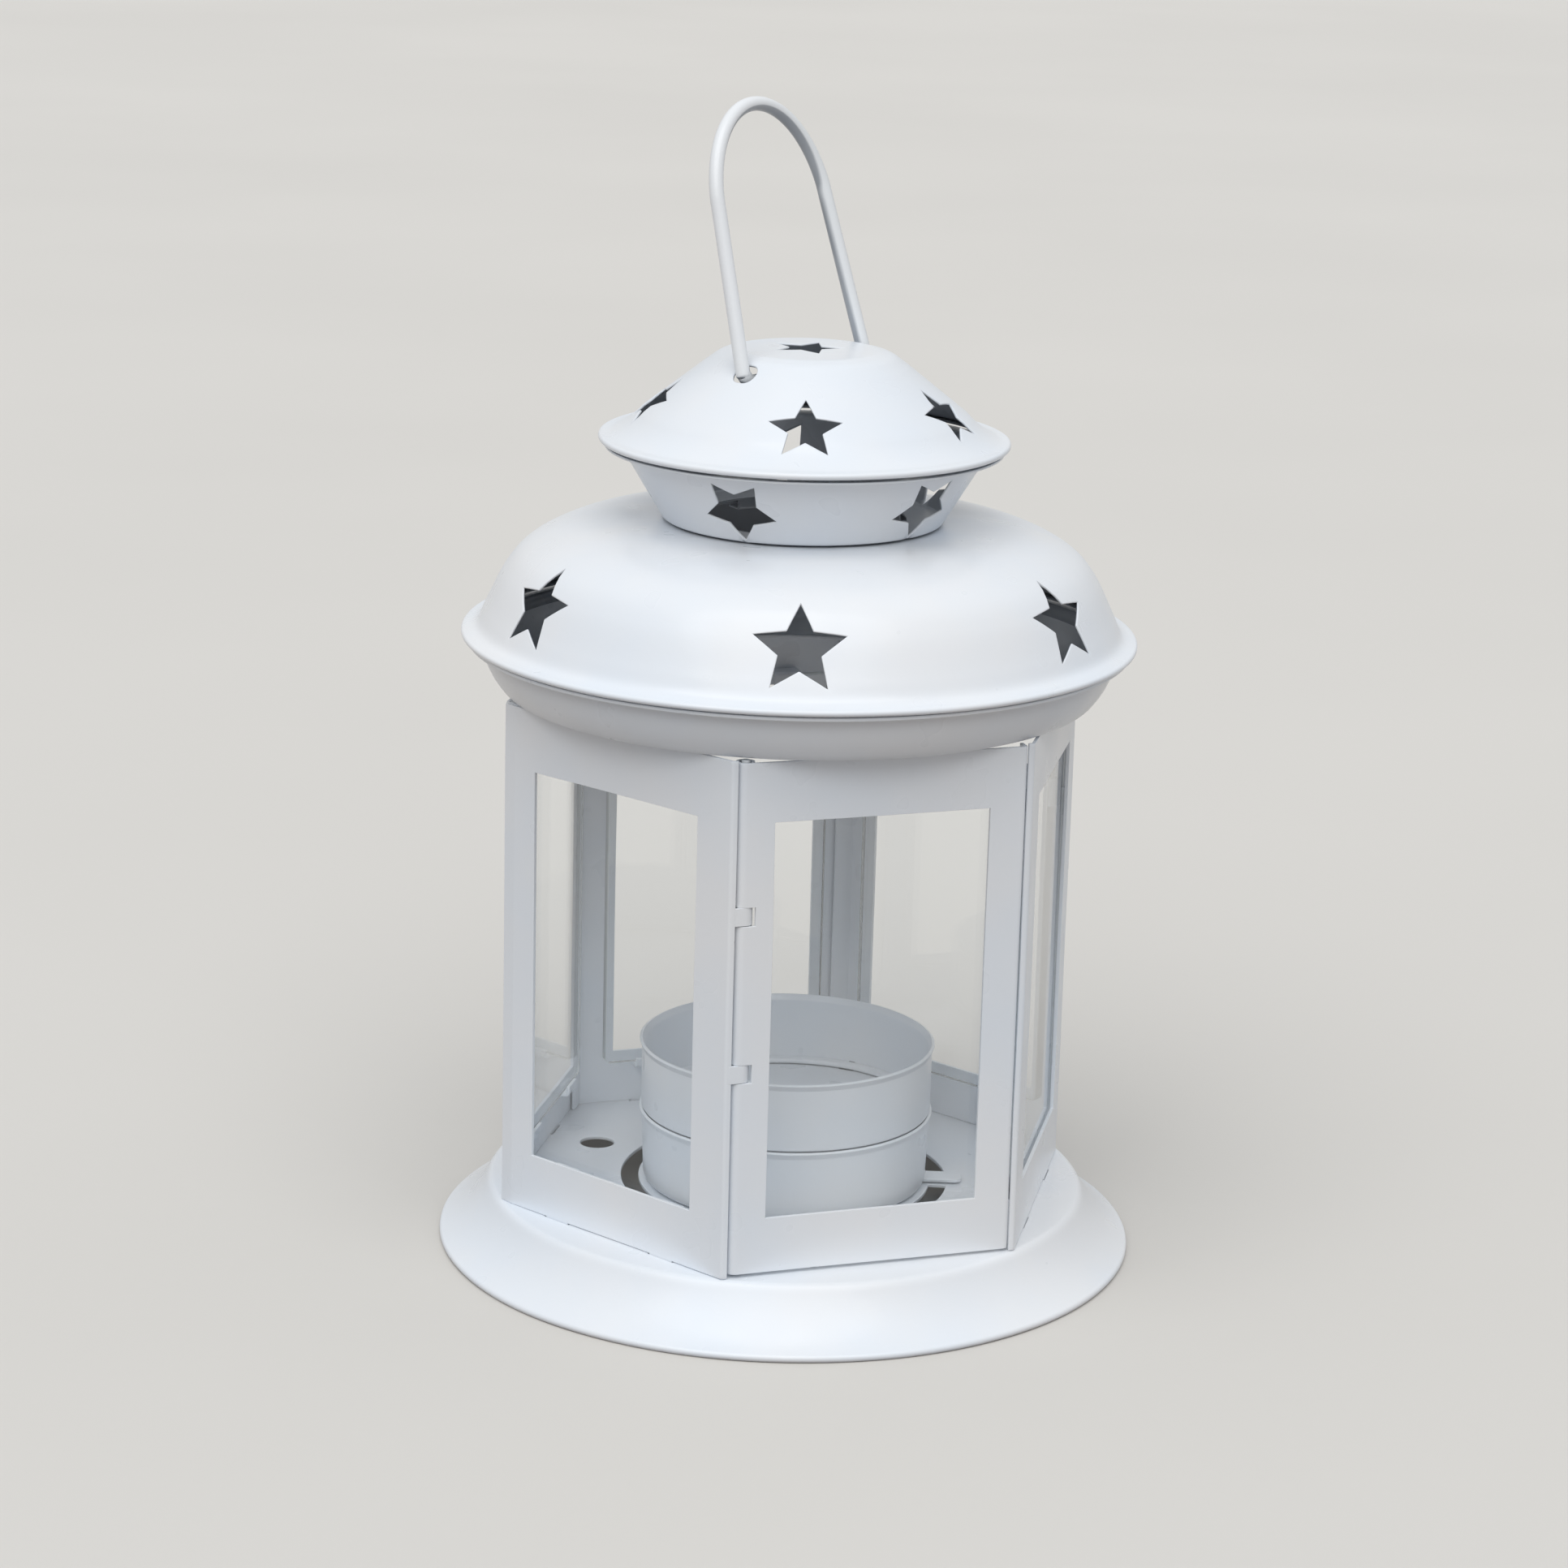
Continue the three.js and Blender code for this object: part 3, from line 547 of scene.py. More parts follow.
def addTurned(bm, line, steps, wobble, holes=(), seam=0.0, margin=0.3 * mm):
    # sheet of revolution; holes are loops of azimuth and length along the line
    lengths = runningLengths(line)

    def place(azimuth, along):
        radius, height = pointAt(line, lengths, along)
        return wobble(polar(radius, azimuth, height))

    columns = [seam + 2 * math.pi * k / steps for k in range(steps + 1)]
    if not holes:
        addGrid(bm, columns, lengths, place)
        return
    low = min(along for hole in holes for _, along in hole) - 4 * margin
    high = max(along for hole in holes for _, along in hole) + 4 * margin
    first = max(bisect.bisect_left(lengths, low) - 1, 0)
    last = min(bisect.bisect_right(lengths, high), len(lengths) - 1)
    if first:
        addGrid(bm, columns, lengths[:first + 1], place)
    if last < len(lengths) - 1:
        addGrid(bm, columns, lengths[last:], place)
    band = lengths[first:last + 1]
    scale = sum(pointAt(line, lengths, s)[0] for s in band) / len(band)
    flat = [[((a - seam) * scale, s) for a, s in hole] for hole in holes]
    across = [(c - seam) * scale for c in columns]
    outline = [(x, band[0]) for x in across]
    outline += [(across[-1], s) for s in band[1:]]
    outline += [(x, band[-1]) for x in reversed(across[:-1])]
    outline += [(across[0], s) for s in reversed(band[1:-1])]
    inside = [(x, s) for x in across[1:-1] for s in band[1:-1]]
    addPattern(bm, outline, flat, inside, lambda x, s: place(x / scale + seam, s), margin)


def addStrip(bm, line, left, right, turn):
    # narrow folded strip; line holds y and z, and the strip runs from left to right
    spin = Matrix.Rotation(turn, 3, "Z")
    lengths = runningLengths(line)
    addGrid(bm, [left, right], lengths,
            lambda x, s: spin @ Vector((x, *pointAt(line, lengths, s))))


def addUpright(bm, line, rows, turn, isOpen=None, extra=(), wobble=None):
    # folded sheet standing on its edge; line holds x and y
    spin = Matrix.Rotation(turn, 3, "Z")
    settle = wobble or (lambda p: p)
    lengths = runningLengths(line)
    columns = sorted(set(lengths) | set(extra))
    columns = [c for k, c in enumerate(columns) if k == 0 or c - columns[k - 1] > 1e-7]

    def place(along, height):
        return settle(spin @ Vector((*pointAt(line, lengths, along), height)))

    addGrid(bm, columns, rows, place, isOpen)


def handMade(amount, size, offset=0.0):
    # slight unevenness of a sheet that was pressed and folded by hand
    shift = Vector((offset, offset * 0.7, -offset))
    return lambda p: p + noise.noise_vector(p / size + shift) * amount


def evenRows(*levels, step):
    return [v for v, in densified([(level,) for level in levels], step)]


def addObject(name, bm, material, nodes, body, slot, thickness=None, edge=0.14 * mm):
    bmesh.ops.remove_doubles(bm, verts=bm.verts, dist=2e-6)
    bmesh.ops.delete(bm, geom=[v for v in bm.verts if not v.link_faces], context="VERTS")
    for face in bm.faces:
        face.smooth = True
    mesh = bpy.data.meshes.new(name)
    bm.to_mesh(mesh)
    bm.free()
    mesh.materials.append(material)
    piece = bpy.data.objects.new(name, mesh)
    bpy.context.scene.collection.objects.link(piece)
    if thickness:
        shell = piece.modifiers.new("sheetThickness", "SOLIDIFY")
        shell.thickness = thickness
        shell.offset = -1
        shell.use_even_offset = True
        shell.use_quality_normals = True
    if edge:
        bevel = piece.modifiers.new("roundedEdges", "BEVEL")
        bevel.width = edge
        bevel.segments = 2
        bevel.limit_method = "ANGLE"
        bevel.angle_limit = 38 * degree
        bevel.use_clamp_overlap = False
    piece.modifiers.new("evenShading", "WEIGHTED_NORMAL").keep_sharp = True
    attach(piece, body)
    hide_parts(*nodes)


def addSheetPiece(name, bm, node, body="lantern_body", thickness=0.6 * mm, **options):
    addObject(name, bm, whiteEnamel, [node], body, "white_enamel", thickness, **options)


# Holes in sheets of revolution, as loops of azimuth and length along the line

starCut = {"points": 5, "waist": 0.46, "partsPerEdge": 4}


def starOutline(radius, waist=starCut["waist"], turn=0.0):
    corners = []
    for k in range(2 * starCut["points"]):
        reach = radius * (waist if k % 2 else 1)
        angle = math.pi / 2 + turn + k * math.pi / starCut["points"]
        corners.append((reach * math.cos(angle), reach * math.sin(angle)))
    return densified(corners + corners[:1], radius / starCut["partsPerEdge"])[:-1]


def starOnLine(line, level, azimuth, outline):
    # a star cut square to the sheet
    lengths = runningLengths(line)
    centreLength = lengthWhere(line, lengths, 1, level)
    centre = pointAt(line, lengths, centreLength)
    near = [pointAt(line, lengths, centreLength + d) for d in (-0.2 * mm, 0.2 * mm)]
    tilt = math.atan2(near[0][0] - near[1][0], near[1][1] - near[0][1])
    east = Vector((math.cos(azimuth), math.sin(azimuth), 0))
    normal = polar(math.cos(tilt), azimuth, math.sin(tilt))
    north = normal.cross(east)
    loop = []
    for a, b in outline:
        point = polar(centre[0], azimuth, centre[1]) + east * a + north * b
        for _ in range(12):  # slides along the cut until it meets the sheet
            along = lengthWhere(line, lengths, 1, point.z)
            gap = math.hypot(point.x, point.y) - pointAt(line, lengths, along)[0]
            point -= normal * gap * math.cos(tilt)
        turn = math.atan2(point.x, -point.y) - azimuth
        turn = (turn + math.pi) % (2 * math.pi) - math.pi
        loop.append((azimuth + turn, lengthWhere(line, lengths, 1, point.z)))
    return loop


def shifted(loop, seam):
    # the same loop, a whole number of turns on, so that it lies past the seam
    turns = math.floor((min(a for a, _ in loop) - seam) / (2 * math.pi))
    return facing([(a - turns * 2 * math.pi, s) for a, s in loop])


def starHoles(line, level, cut, outline):
    loops = []
    for k in range(cut["starCount"]):
        azimuth = cut["starAzimuth"] + k * cut["starSpacing"]
        loops.append(shifted(starOnLine(line, level, azimuth, outline), cut["seam"]))
    return loops


def holeOnLine(line, outline, seam):
    # outline holds x and y, seen from above
    lengths = runningLengths(line)
    loop = []
    for x, y in outline:
        azimuth = (math.atan2(x, -y) - seam) % (2 * math.pi) + seam
        loop.append((azimuth, lengthWhere(line, lengths, 0, math.hypot(x, y))))
    return facing(loop)


# Body layout, shared by the panels, the base and the tray

body = {
    "sides": 6,
    "hexRadius": 51.2 * mm,
    "doorAzimuth": 18.7 * degree,
    "seat": 0.3 * mm,
    "sheet": 0.6 * mm,
    "panSheet": 0.7 * mm,
    "tabWidth": 5 * mm,
    "tabLength": 3.6 * mm,
    "lowTabSpacing": 24 * mm,
    "highTabSpacing": 16 * mm,
    "slotRelief": 0.05 * mm,
}
sideTurn = 2 * math.pi / body["sides"]
apothem = body["hexRadius"] * math.cos(sideTurn / 2)
halfSide = body["hexRadius"] * math.sin(sideTurn / 2)
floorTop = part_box("base_pan")[1].z
panelBottom = floorTop + body["seat"]
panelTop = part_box("hinge_pin")[1].z
trayBottom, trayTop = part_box("roof_tray")[0].z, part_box("roof_tray")[1].z


def sideAngle(index):
    return body["doorAzimuth"] + index * sideTurn


def tabSlots(spacing):
    loops = []
    half = body["tabWidth"] / 2 + body["seat"]
    front = -apothem - body["slotRelief"]
    back = -apothem + body["sheet"] + body["seat"]
    for index in range(1, body["sides"]):
        spin = Matrix.Rotation(sideAngle(index), 2)
        for middle in (-spacing / 2, spacing / 2):
            left, right = middle - half, middle + half
            corners = [(left, front), (right, front), (right, back), (left, back), (left, front)]
            loops.append([tuple(spin @ Vector(p)) for p in densified(corners, 1 * mm)[:-1]])
    return loops


# Base pan

basePan = {
    "sheet": 0.65 * mm,
    "floorRadius": 51.4 * mm,
    "floorRounding": 0.9 * mm,
    "slopeInset": 2.9 * mm,
    "slopeKnee": 0.42,
    "slopeFoot": 1.4 * mm,
    "rimInset": 0.5 * mm,
    "hemWidth": 2.7 * mm,
    "airHoleDiameter": 6 * mm,
    "airHoleCircle": 35.7 * mm,
    "airHoleAzimuth": -113.4 * degree,
    "airHoleCount": 4,
    "slotInner": 24.9 * mm,
    "slotWidth": 3 * mm,
    "slotSteps": 44,
    "footWidth": 4.2 * mm,
    "footCount": 3,
    "footAzimuth": 89 * degree,
    "innerRadius": 0.4 * mm,
    "closedRadius": 0.5 * mm,  # drawn together to one point
    "seam": 87 * degree,
    "steps": 180,
    "rowStep": 1.4 * mm,
    "holeMargin": 0.25 * mm,
    "uneven": (0.07 * mm, 24 * mm),
}


def basePanLine(pan):
    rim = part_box("base_pan")[1].x
    bead = pan["slopeFoot"] / 2
    hem = (rim - pan["rimInset"] - pan["hemWidth"], 0.0)
    edge = arc((rim - bead, bead), bead, -90, 75, 12)
    knee = (pan["floorRadius"] + pan["slopeInset"], floorTop * pan["slopeKnee"])
    slope = quadratic(edge[-1], knee, (pan["floorRadius"], floorTop), 30)
    flat = (pan["floorRadius"] - pan["floorRounding"], floorTop)
    line = [hem, *edge, *slope[1:-3], *quadratic(slope[-4], slope[-1], flat, 5)[1:]]
    return densified(line + [(pan["innerRadius"], floorTop)], pan["rowStep"])


def curvedSlots(pan, line):
    # one between each two feet of the candle holder
    lengths = runningLengths(line)
    outer = pan["slotInner"] + pan["slotWidth"]
    ends = [lengthWhere(line, lengths, 0, radius) for radius in (outer, pan["slotInner"])]
    bridge = math.asin((pan["footWidth"] / 2 + body["seat"]) / outer)
    step = 2 * math.pi / pan["footCount"]
    loops = []
    for k in range(pan["footCount"]):
        start, span = pan["footAzimuth"] + k * step + bridge, step - 2 * bridge
        count = pan["slotSteps"]
        azimuths = [start + span * i / count for i in range(count + 1)]
        loop = [(a, ends[0]) for a in azimuths] + [(a, ends[1]) for a in reversed(azimuths)]
        loops.append(shifted(loop, pan["seam"]))
    return loops


def addBasePan(pan):
    line = basePanLine(pan)
    outlines = []
    for k in range(pan["airHoleCount"]):
        azimuth = pan["airHoleAzimuth"] + k * 2 * math.pi / pan["airHoleCount"]
        middle = polar(pan["airHoleCircle"], azimuth, 0)
        outlines.append(arc(middle.xy, pan["airHoleDiameter"] / 2, 0, 360, 40)[:-1])
    outlines += tabSlots(body["lowTabSpacing"])
    holes = [holeOnLine(line, outline, pan["seam"]) for outline in outlines]
    holes += curvedSlots(pan, line)
    uneven = handMade(*pan["uneven"])

    def settle(p):
        # nothing sinks below the table
        moved = uneven(p)
        return Vector((moved.x, moved.y, max(moved.z, 0)))

    bm = bmesh.new()
    addTurned(bm, line, pan["steps"], settle, holes, pan["seam"], pan["holeMargin"])
    centre = [v for v in bm.verts if v.co.xy.length < pan["closedRadius"]]
    bmesh.ops.pointmerge(bm, verts=centre, merge_co=(0, 0, floorTop))
    addSheetPiece("basePanPressing", bm, "base_pan", thickness=pan["sheet"])


addBasePan(basePan)
print("base pan made")

# Candle holder on three feet, and the loose cup

candleHolder = {
    "sheet": 0.6 * mm,
    "taper": 0.9 * mm,
    "bend": 1.2 * mm,
    "rimRoll": 0.45 * mm,
    "rimHeight": 1 * mm,
    "footWidth": 4.2 * mm,
    "footRoot": 3 * mm,
    "footReach": 30.5 * mm,
    "footCorner": 1.2 * mm,
    "steps": 120,
    "rowStep": 1.4 * mm,
    "uneven": (0.05 * mm, 15 * mm, 3),
}


def addCandleHolder(holder):
    low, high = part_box("candle_holder")
    bottom, top, radius = low.z, high.z, -low.x
    foot = radius - holder["taper"]
    wall = (radius - holder["rimRoll"], top - holder["rimHeight"])
    points = rounded([(0, bottom), (foot, bottom), wall, (radius, top)], holder["bend"])
    bm = bmesh.new()
    line = densified(points, holder["rowStep"])
    addTurned(bm, line, holder["steps"], handMade(*holder["uneven"]))
    half, corner = holder["footWidth"] / 2, holder["footCorner"]
    tip = arc((half - corner, holder["footReach"] - corner), corner, 0, 90, 5)
    outline = [(half, foot - holder["footRoot"]), *tip]
    outline += [(-x, y) for x, y in reversed(outline)]
    for k in range(basePan["footCount"]):
        azimuth = basePan["footAzimuth"] + k * 2 * math.pi / basePan["footCount"]
        spin = Matrix.Rotation(azimuth + math.pi, 3, "Z")
        verts = [bm.verts.new(spin @ Vector((x, y, bottom))) for x, y in outline]
        bm.faces.new(verts[::-1])
    addSheetPiece("candleHolderCup", bm, "candle_holder", thickness=holder["sheet"])


looseCup = {
    "sheet": 0.6 * mm,
    "spigotRadius": 23.65 * mm,
    "spigotHeight": 1.3 * mm,
    "chamfer": 0.4 * mm,
    "footTaper": 0.5 * mm,
    "bend": 0.5 * mm,
    "rimRoll": 0.45 * mm,
    "rimHeight": 1 * mm,
    "steps": 120,
    "rowStep": 1.4 * mm,
    "uneven": (0.05 * mm, 15 * mm, 9),
}


def addLooseCup(cup):
    low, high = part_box("candle_cup")
    bottom, top, radius = low.z, high.z, high.x
    spigot, shoulder = cup["spigotRadius"], bottom + cup["spigotHeight"]
    points = [
        (0, bottom),
        (spigot - cup["chamfer"], bottom),
        (spigot, bottom + cup["chamfer"]),
        (spigot, shoulder),
        (radius - cup["footTaper"], shoulder),
        (radius - cup["rimRoll"], top - cup["rimHeight"]),
        (radius, top),
    ]
    bm = bmesh.new()
    line = densified(rounded(points, cup["bend"], 4), cup["rowStep"])
    addTurned(bm, line, cup["steps"], handMade(*cup["uneven"]))
    addSheetPiece("looseCandleCup", bm, "candle_cup", "loose_cup", cup["sheet"])


addCandleHolder(candleHolder)
addLooseCup(looseCup)
print("candle holder and cup made")

# Side panels, door and glass

panel = {
    "stile": 7.35 * mm,
    "bottomRail": 9.7 * mm,
    "topRail": 10.2 * mm,
    "glassGap": 0.3 * mm,
    "glassThickness": 2 * mm,
    "glassLap": 1.9 * mm,
    "glassCorner": 0.8 * mm,
    "glassGround": 0.25 * mm,
    "lapWidth": 3.6 * mm,
    "cornerWrap": 1 * mm,
    "rolledWidth": 2.6 * mm,
    "rolledDepth": 0.35 * mm,
    "clipWidth": 5 * mm,
    "clipSpacing": 24 * mm,
    "clipBend": 0.8 * mm,
    "tabBend": 0.7 * mm,
    "tabRoot": 0.2 * mm,
    "headGrip": 2.4 * mm,
    "sillGrip": 1.2 * mm,
    "sideStopInset": 9 * mm,
    "edgeFit": 0.18 * mm,
    "edgeRow": 0.6 * mm,
    "edgeRounding": 0.07 * mm,
    "bendRadius": 0.9 * mm,
    "gridStep": 4 * mm,
    "uneven": (0.09 * mm, 30 * mm),
}
sheet = body["sheet"]
halfWindow = halfSide - panel["stile"]
windowBottom = panelBottom + panel["bottomRail"]
windowTop = panelTop - panel["topRail"]
glassFront = sheet + panel["glassGap"]
glassBack = glassFront + panel["glassThickness"]
halfGlass = halfWindow + panel["glassLap"]


def isWindow(x, z):
    return abs(x) < halfWindow and windowBottom < z < windowTop


def addFace(bm, line, bottom, top, turn, isOpen, offset, levels=(), marks=()):
    # marks are x values on the flat front of the sheet that need a column
    lengths = runningLengths(line)
    flat = [k for k, p in enumerate(line) if abs(p[1] + apothem) < 0.01 * mm][0]
    start = lengths[flat] - line[flat][0]
    columns = [*marks, *evenRows(-halfWindow, halfWindow, step=panel["gridStep"])]
    near = panel["edgeRow"]
    heights = {bottom, bottom + near, windowBottom, windowTop, top - near, top, *levels}
    rows = evenRows(*sorted(heights), step=panel["gridStep"])
    addUpright(bm, line, rows, turn, lambda u, z: isOpen(u - start, z),
               [start + x for x in columns], handMade(*panel["uneven"], offset))


def addClips(bm, turn):
    # two clips under the glass, two over it, and a stop on each side
    half, bend = panel["clipWidth"] / 2, panel["clipBend"]
    reach = panel["glassLap"] + panel["glassGap"] + sheet
    root, back = -apothem + sheet * 0.8, -apothem + glassBack + panel["glassGap"]
    sill, head = windowBottom - reach, windowTop + reach
    behind = back + sheet
    hold = sill + sheet + panel["sillGrip"], head - sheet - panel["headGrip"]
    low = rounded([(root, sill), (behind, sill), (behind, hold[0])], bend, 4)
    high = rounded([(root, head), (behind, head), (behind, hold[1])], bend, 4)
    edge = halfWindow + reach
    top = windowTop - panel["sideStopInset"]
    for side in (-1, 1):
        x = side * panel["clipSpacing"] / 2
        addStrip(bm, low, x + half, x - half, turn)
        addStrip(bm, high, x - half, x + half, turn)
        stop = [(side * edge, root), (side * edge, back)][::side]
        addUpright(bm, stop, [top - panel["clipWidth"], top], turn)


def addTabs(bm, turn):
    # through the floor and the tray, and folded inwards beyond them
    half, root = body["tabWidth"] / 2, panel["tabRoot"]
    under = floorTop - body["panSheet"] - body["seat"] - sheet
    over = trayBottom + sheet + body["seat"] + sheet
    front, end = -apothem, -apothem + body["tabLength"]
    low = [(front, panelBottom + root), (front, under), (end, under)]
    high = [(front, panelTop - root), (front, over), (end, over)]
    low, high = (rounded(line, panel["tabBend"], 4) for line in (low, high))
    for side in (-1, 1):
        x = side * body["lowTabSpacing"] / 2
        addStrip(bm, low, x + half, x - half, turn)
        x = side * body["highTabSpacing"] / 2
        addStrip(bm, high, x - half, x + half, turn)


hinge = {
    "curlRadius": 1.6 * mm,
    "seamPlay": 0.1 * mm,
    "edgeGap": 0.09 * mm,
    "knuckleGap": 0.07 * mm,
    "doorLip": 2.6 * mm,
    "knuckleHeight": 3 * mm,
    "knuckleLevels": (0.4, 0.705),
    "stopWidth": 4 * mm,
    "stopReach": 4.4 * mm,
}
pinX = -halfSide + panel["cornerWrap"] + hinge["seamPlay"] + hinge["curlRadius"]
pinY = -apothem + hinge["curlRadius"]
knuckles = [panelBottom + share * (panelTop - panelBottom) for share in hinge["knuckleLevels"]]


def addKnuckles(bm, turn):
    root = (-halfSide + panel["cornerWrap"] / 2, -apothem)
    line = [root, *arc((pinX, pinY), hinge["curlRadius"], -90, 180, 30)]
    half = hinge["knuckleHeight"] / 2
    for level in knuckles:
        addUpright(bm, line, [level - half, level + half], turn)


def addStops(bm, turn):
    front = hinge["doorLip"] + body["seat"]
    root = halfSide + (front + sheet / 2) / math.tan(sideTurn)
    root -= sheet / (2 * math.sin(sideTurn))
    line = [(halfSide - hinge["stopReach"], -apothem + front), (root, -apothem + front)]
    half = hinge["stopWidth"] / 2
    for level in (windowBottom, windowTop):
        addUpright(bm, line, [level - half, level + half], turn)


def addSidePanel(index, side):
    besideRight, besideLeft = index == 1, index == body["sides"] - 1
    turn = sideAngle(index)
    inCos, inSin = math.cos(sideTurn), math.sin(sideTurn)
    wrap, lap = panel["cornerWrap"], panel["lapWidth"]
    if besideRight:
        line = [(-halfSide - wrap * inCos, -apothem + wrap * inSin), (-halfSide, -apothem)]
    else:
        # the raw edge is rolled back a little
        line = [(-halfSide, -apothem + panel["rolledDepth"])]
        line += [(-halfSide + panel["rolledWidth"], -apothem)]
    if besideLeft:
        line += [(halfSide, -apothem), (halfSide + wrap * inCos, -apothem + wrap * inSin)]
    else:
        fold = halfSide - glassFront / inSin
        line += [(fold, -apothem), (fold + lap * inCos, -apothem + lap * inSin)]
    bm = bmesh.new()
    bottom, top = panelBottom - panel["edgeFit"], panelTop + panel["edgeFit"]
    line = rounded(line, panel["bendRadius"])
    addFace(bm, line, bottom, top, turn, isWindow, index * 5)
    addClips(bm, turn)
    addTabs(bm, turn)
    if besideLeft:
        addKnuckles(bm, sideAngle(0))
    if besideRight:
        addStops(bm, sideAngle(0))
    addSheetPiece("sidePanel_" + side, bm, "side_panel_" + side, edge=panel["edgeRounding"])


def addDoor():
    turn = sideAngle(0)
    low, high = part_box("door_panel")
    edge = halfSide - panel["cornerWrap"] - hinge["edgeGap"]
    curl = arc((pinX, pinY), hinge["curlRadius"], 0, 270, 30)
    leaf = [(pinX, -apothem), (edge, -apothem), (edge, -apothem + hinge["doorLip"])]
    line = curl + rounded(leaf, panel["bendRadius"])[1:]
    notchEnd = pinX + hinge["curlRadius"] + hinge["knuckleGap"]
    half = hinge["knuckleHeight"] / 2 + hinge["knuckleGap"]
    levels = [level + side * half for level in knuckles for side in (-1, 1)]

    def isCut(x, z):
        atKnuckle = any(abs(z - level) < half for level in knuckles)
        return isWindow(x, z) or (atKnuckle and x < notchEnd)

    bm = bmesh.new()
    addFace(bm, line, low.z, high.z, turn, isCut, 2.0, levels, (notchEnd,))
    addClips(bm, turn)
    addSheetPiece("doorLeaf", bm, "door_panel", "door", edge=panel["edgeRounding"])


def addPane(name, node, index, rides):
    # float glass with ground edges and clipped corners
    spin = Matrix.Rotation(sideAngle(index), 3, "Z")
    low, high = windowBottom - panel["glassLap"], windowTop + panel["glassLap"]
    corner, inner = panel["glassCorner"], halfGlass - panel["glassCorner"]
    outline = [(inner, low), (halfGlass, low + corner), (halfGlass, high - corner), (inner, high)]
    outline += [(-x, z) for x, z in reversed(outline)]
    bm = bmesh.new()
    front, back = (
        [bm.verts.new(spin @ Vector((x, -apothem + depth, z))) for x, z in outline]
        for depth in (glassFront, glassBack)
    )
    bm.faces.new(front)
    bm.faces.new(back[::-1])
    for k in range(len(outline)):
        n = (k + 1) % len(outline)
        bm.faces.new((front[n], front[k], back[k], back[n]))
    addObject(name, bm, clearGlass, [node], rides, "clear_glass", edge=panel["glassGround"])


hingePin = {"radius": 0.7 * mm, "rounding": 0.2 * mm, "steps": 20, "rowStep": 8 * mm}


def addHingePin(pin):
    middle = Matrix.Rotation(sideAngle(0), 3, "Z") @ Vector((pinX, pinY, 0))
    low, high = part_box("hinge_pin")
    rounding = pin["rounding"]
    inner = pin["radius"] - rounding
    line = [(0, low.z), *arc((inner, low.z + rounding), rounding, -90, 0, 4)]
    line += [*arc((inner, high.z - rounding), rounding, 0, 90, 4), (0, high.z)]
    bm = bmesh.new()
    addTurned(bm, densified(line, pin["rowStep"]), pin["steps"], lambda p: p + middle)
    addObject("hingePinWire", bm, enamelledWire, ["hinge_pin"], "lantern_body",
              "enamelled_wire", edge=None)


for index, side in enumerate(["right", "rear_right", "rear", "rear_left", "left"], 1):
    addSidePanel(index, side)
    addPane("glassPane_" + side, "glass_pane_" + side, index, "lantern_body")
addDoor()
addPane("doorGlassPane", "door_glass", 0, "door")
addHingePin(hingePin)
print("sides, door and glass made")

# Roof tray, domed roof, chimney neck and cap

roofTray = {
    "sheet": 0.6 * mm,
    "floorRadius": apothem + 5.2 * mm,
    "footRounding": 1.2 * mm,
    "ring": 13.5 * mm,
    "flare": 4.1 * mm,
    "bulge": 0.8 * mm,
    "knee": 0.38,
    "lipBend": 0.8 * mm,
    "seam": body["doorAzimuth"],
    "steps": 180,
    "rowStep": 1.4 * mm,
    "holeMargin": 0.25 * mm,
    "uneven": (0.06 * mm, 26 * mm, 4),
}


def addRoofTray(tray):
    foot = (tray["floorRadius"], trayBottom)
    flat = (tray["floorRadius"] - tray["footRounding"], trayBottom)
    head = (tray["floorRadius"] + tray["flare"], trayTop - tray["sheet"])
    knee = (head[0] - tray["bulge"], trayBottom + (trayTop - trayBottom) * tray["knee"])
    wall = quadratic(foot, knee, head, 16)
    points = [(foot[0] - tray["ring"], trayBottom), *quadratic(flat, foot, wall[2], 5)]
    points += wall[3:-2] + quadratic(wall[-3], head, (head[0] + tray["lipBend"], head[1]), 5)
    lip = (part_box("roof_tray")[1].x, head[1])
    line = densified(points + [lip], tray["rowStep"])
    seam = tray["seam"]
    holes = [holeOnLine(line, outline, seam) for outline in tabSlots(body["highTabSpacing"])]
    bm = bmesh.new()
    addTurned(bm, line, tray["steps"], handMade(*tray["uneven"]), holes, seam, tray["holeMargin"])
    addSheetPiece("roofTrayPressing", bm, "roof_tray", thickness=tray["sheet"])


# Stars are punched one after another from the first azimuth; the last gap takes what is left

domedRoof = {
    "sheet": 0.42 * mm,
    "bead": 0.55 * mm,
    "hemWidth": 2.2 * mm,
    "dome": [(0.08, 0.096), (0.1265, 0.2525), (0.222, 0.56),
             (0.3365, 0.765), (0.537, 0.92), (0.7685, 0.987)],
    "flatRadius": 24.4 * mm,
    "throat": 18.6 * mm,
    "starCount": 6,
    "starRadius": 7.8 * mm,
    "starLevel": 0.48,
    "starAzimuth": -57.6 * degree,
    "starSpacing": 57.6 * degree,
    "seam": 30 * degree,
    "steps": 180,
    "rowStep": 1.3 * mm,
    "uneven": (0.08 * mm, 28 * mm, 6),
}


def beadedEdge(lip, bottom, piece):
    # edge of the sheet turned under, and the bead of the turn
    bead = piece["bead"]
    turned = arc((lip - bead, bottom + bead), bead, -90, 90, 10)
    return [(lip - piece["hemWidth"], bottom), *turned]


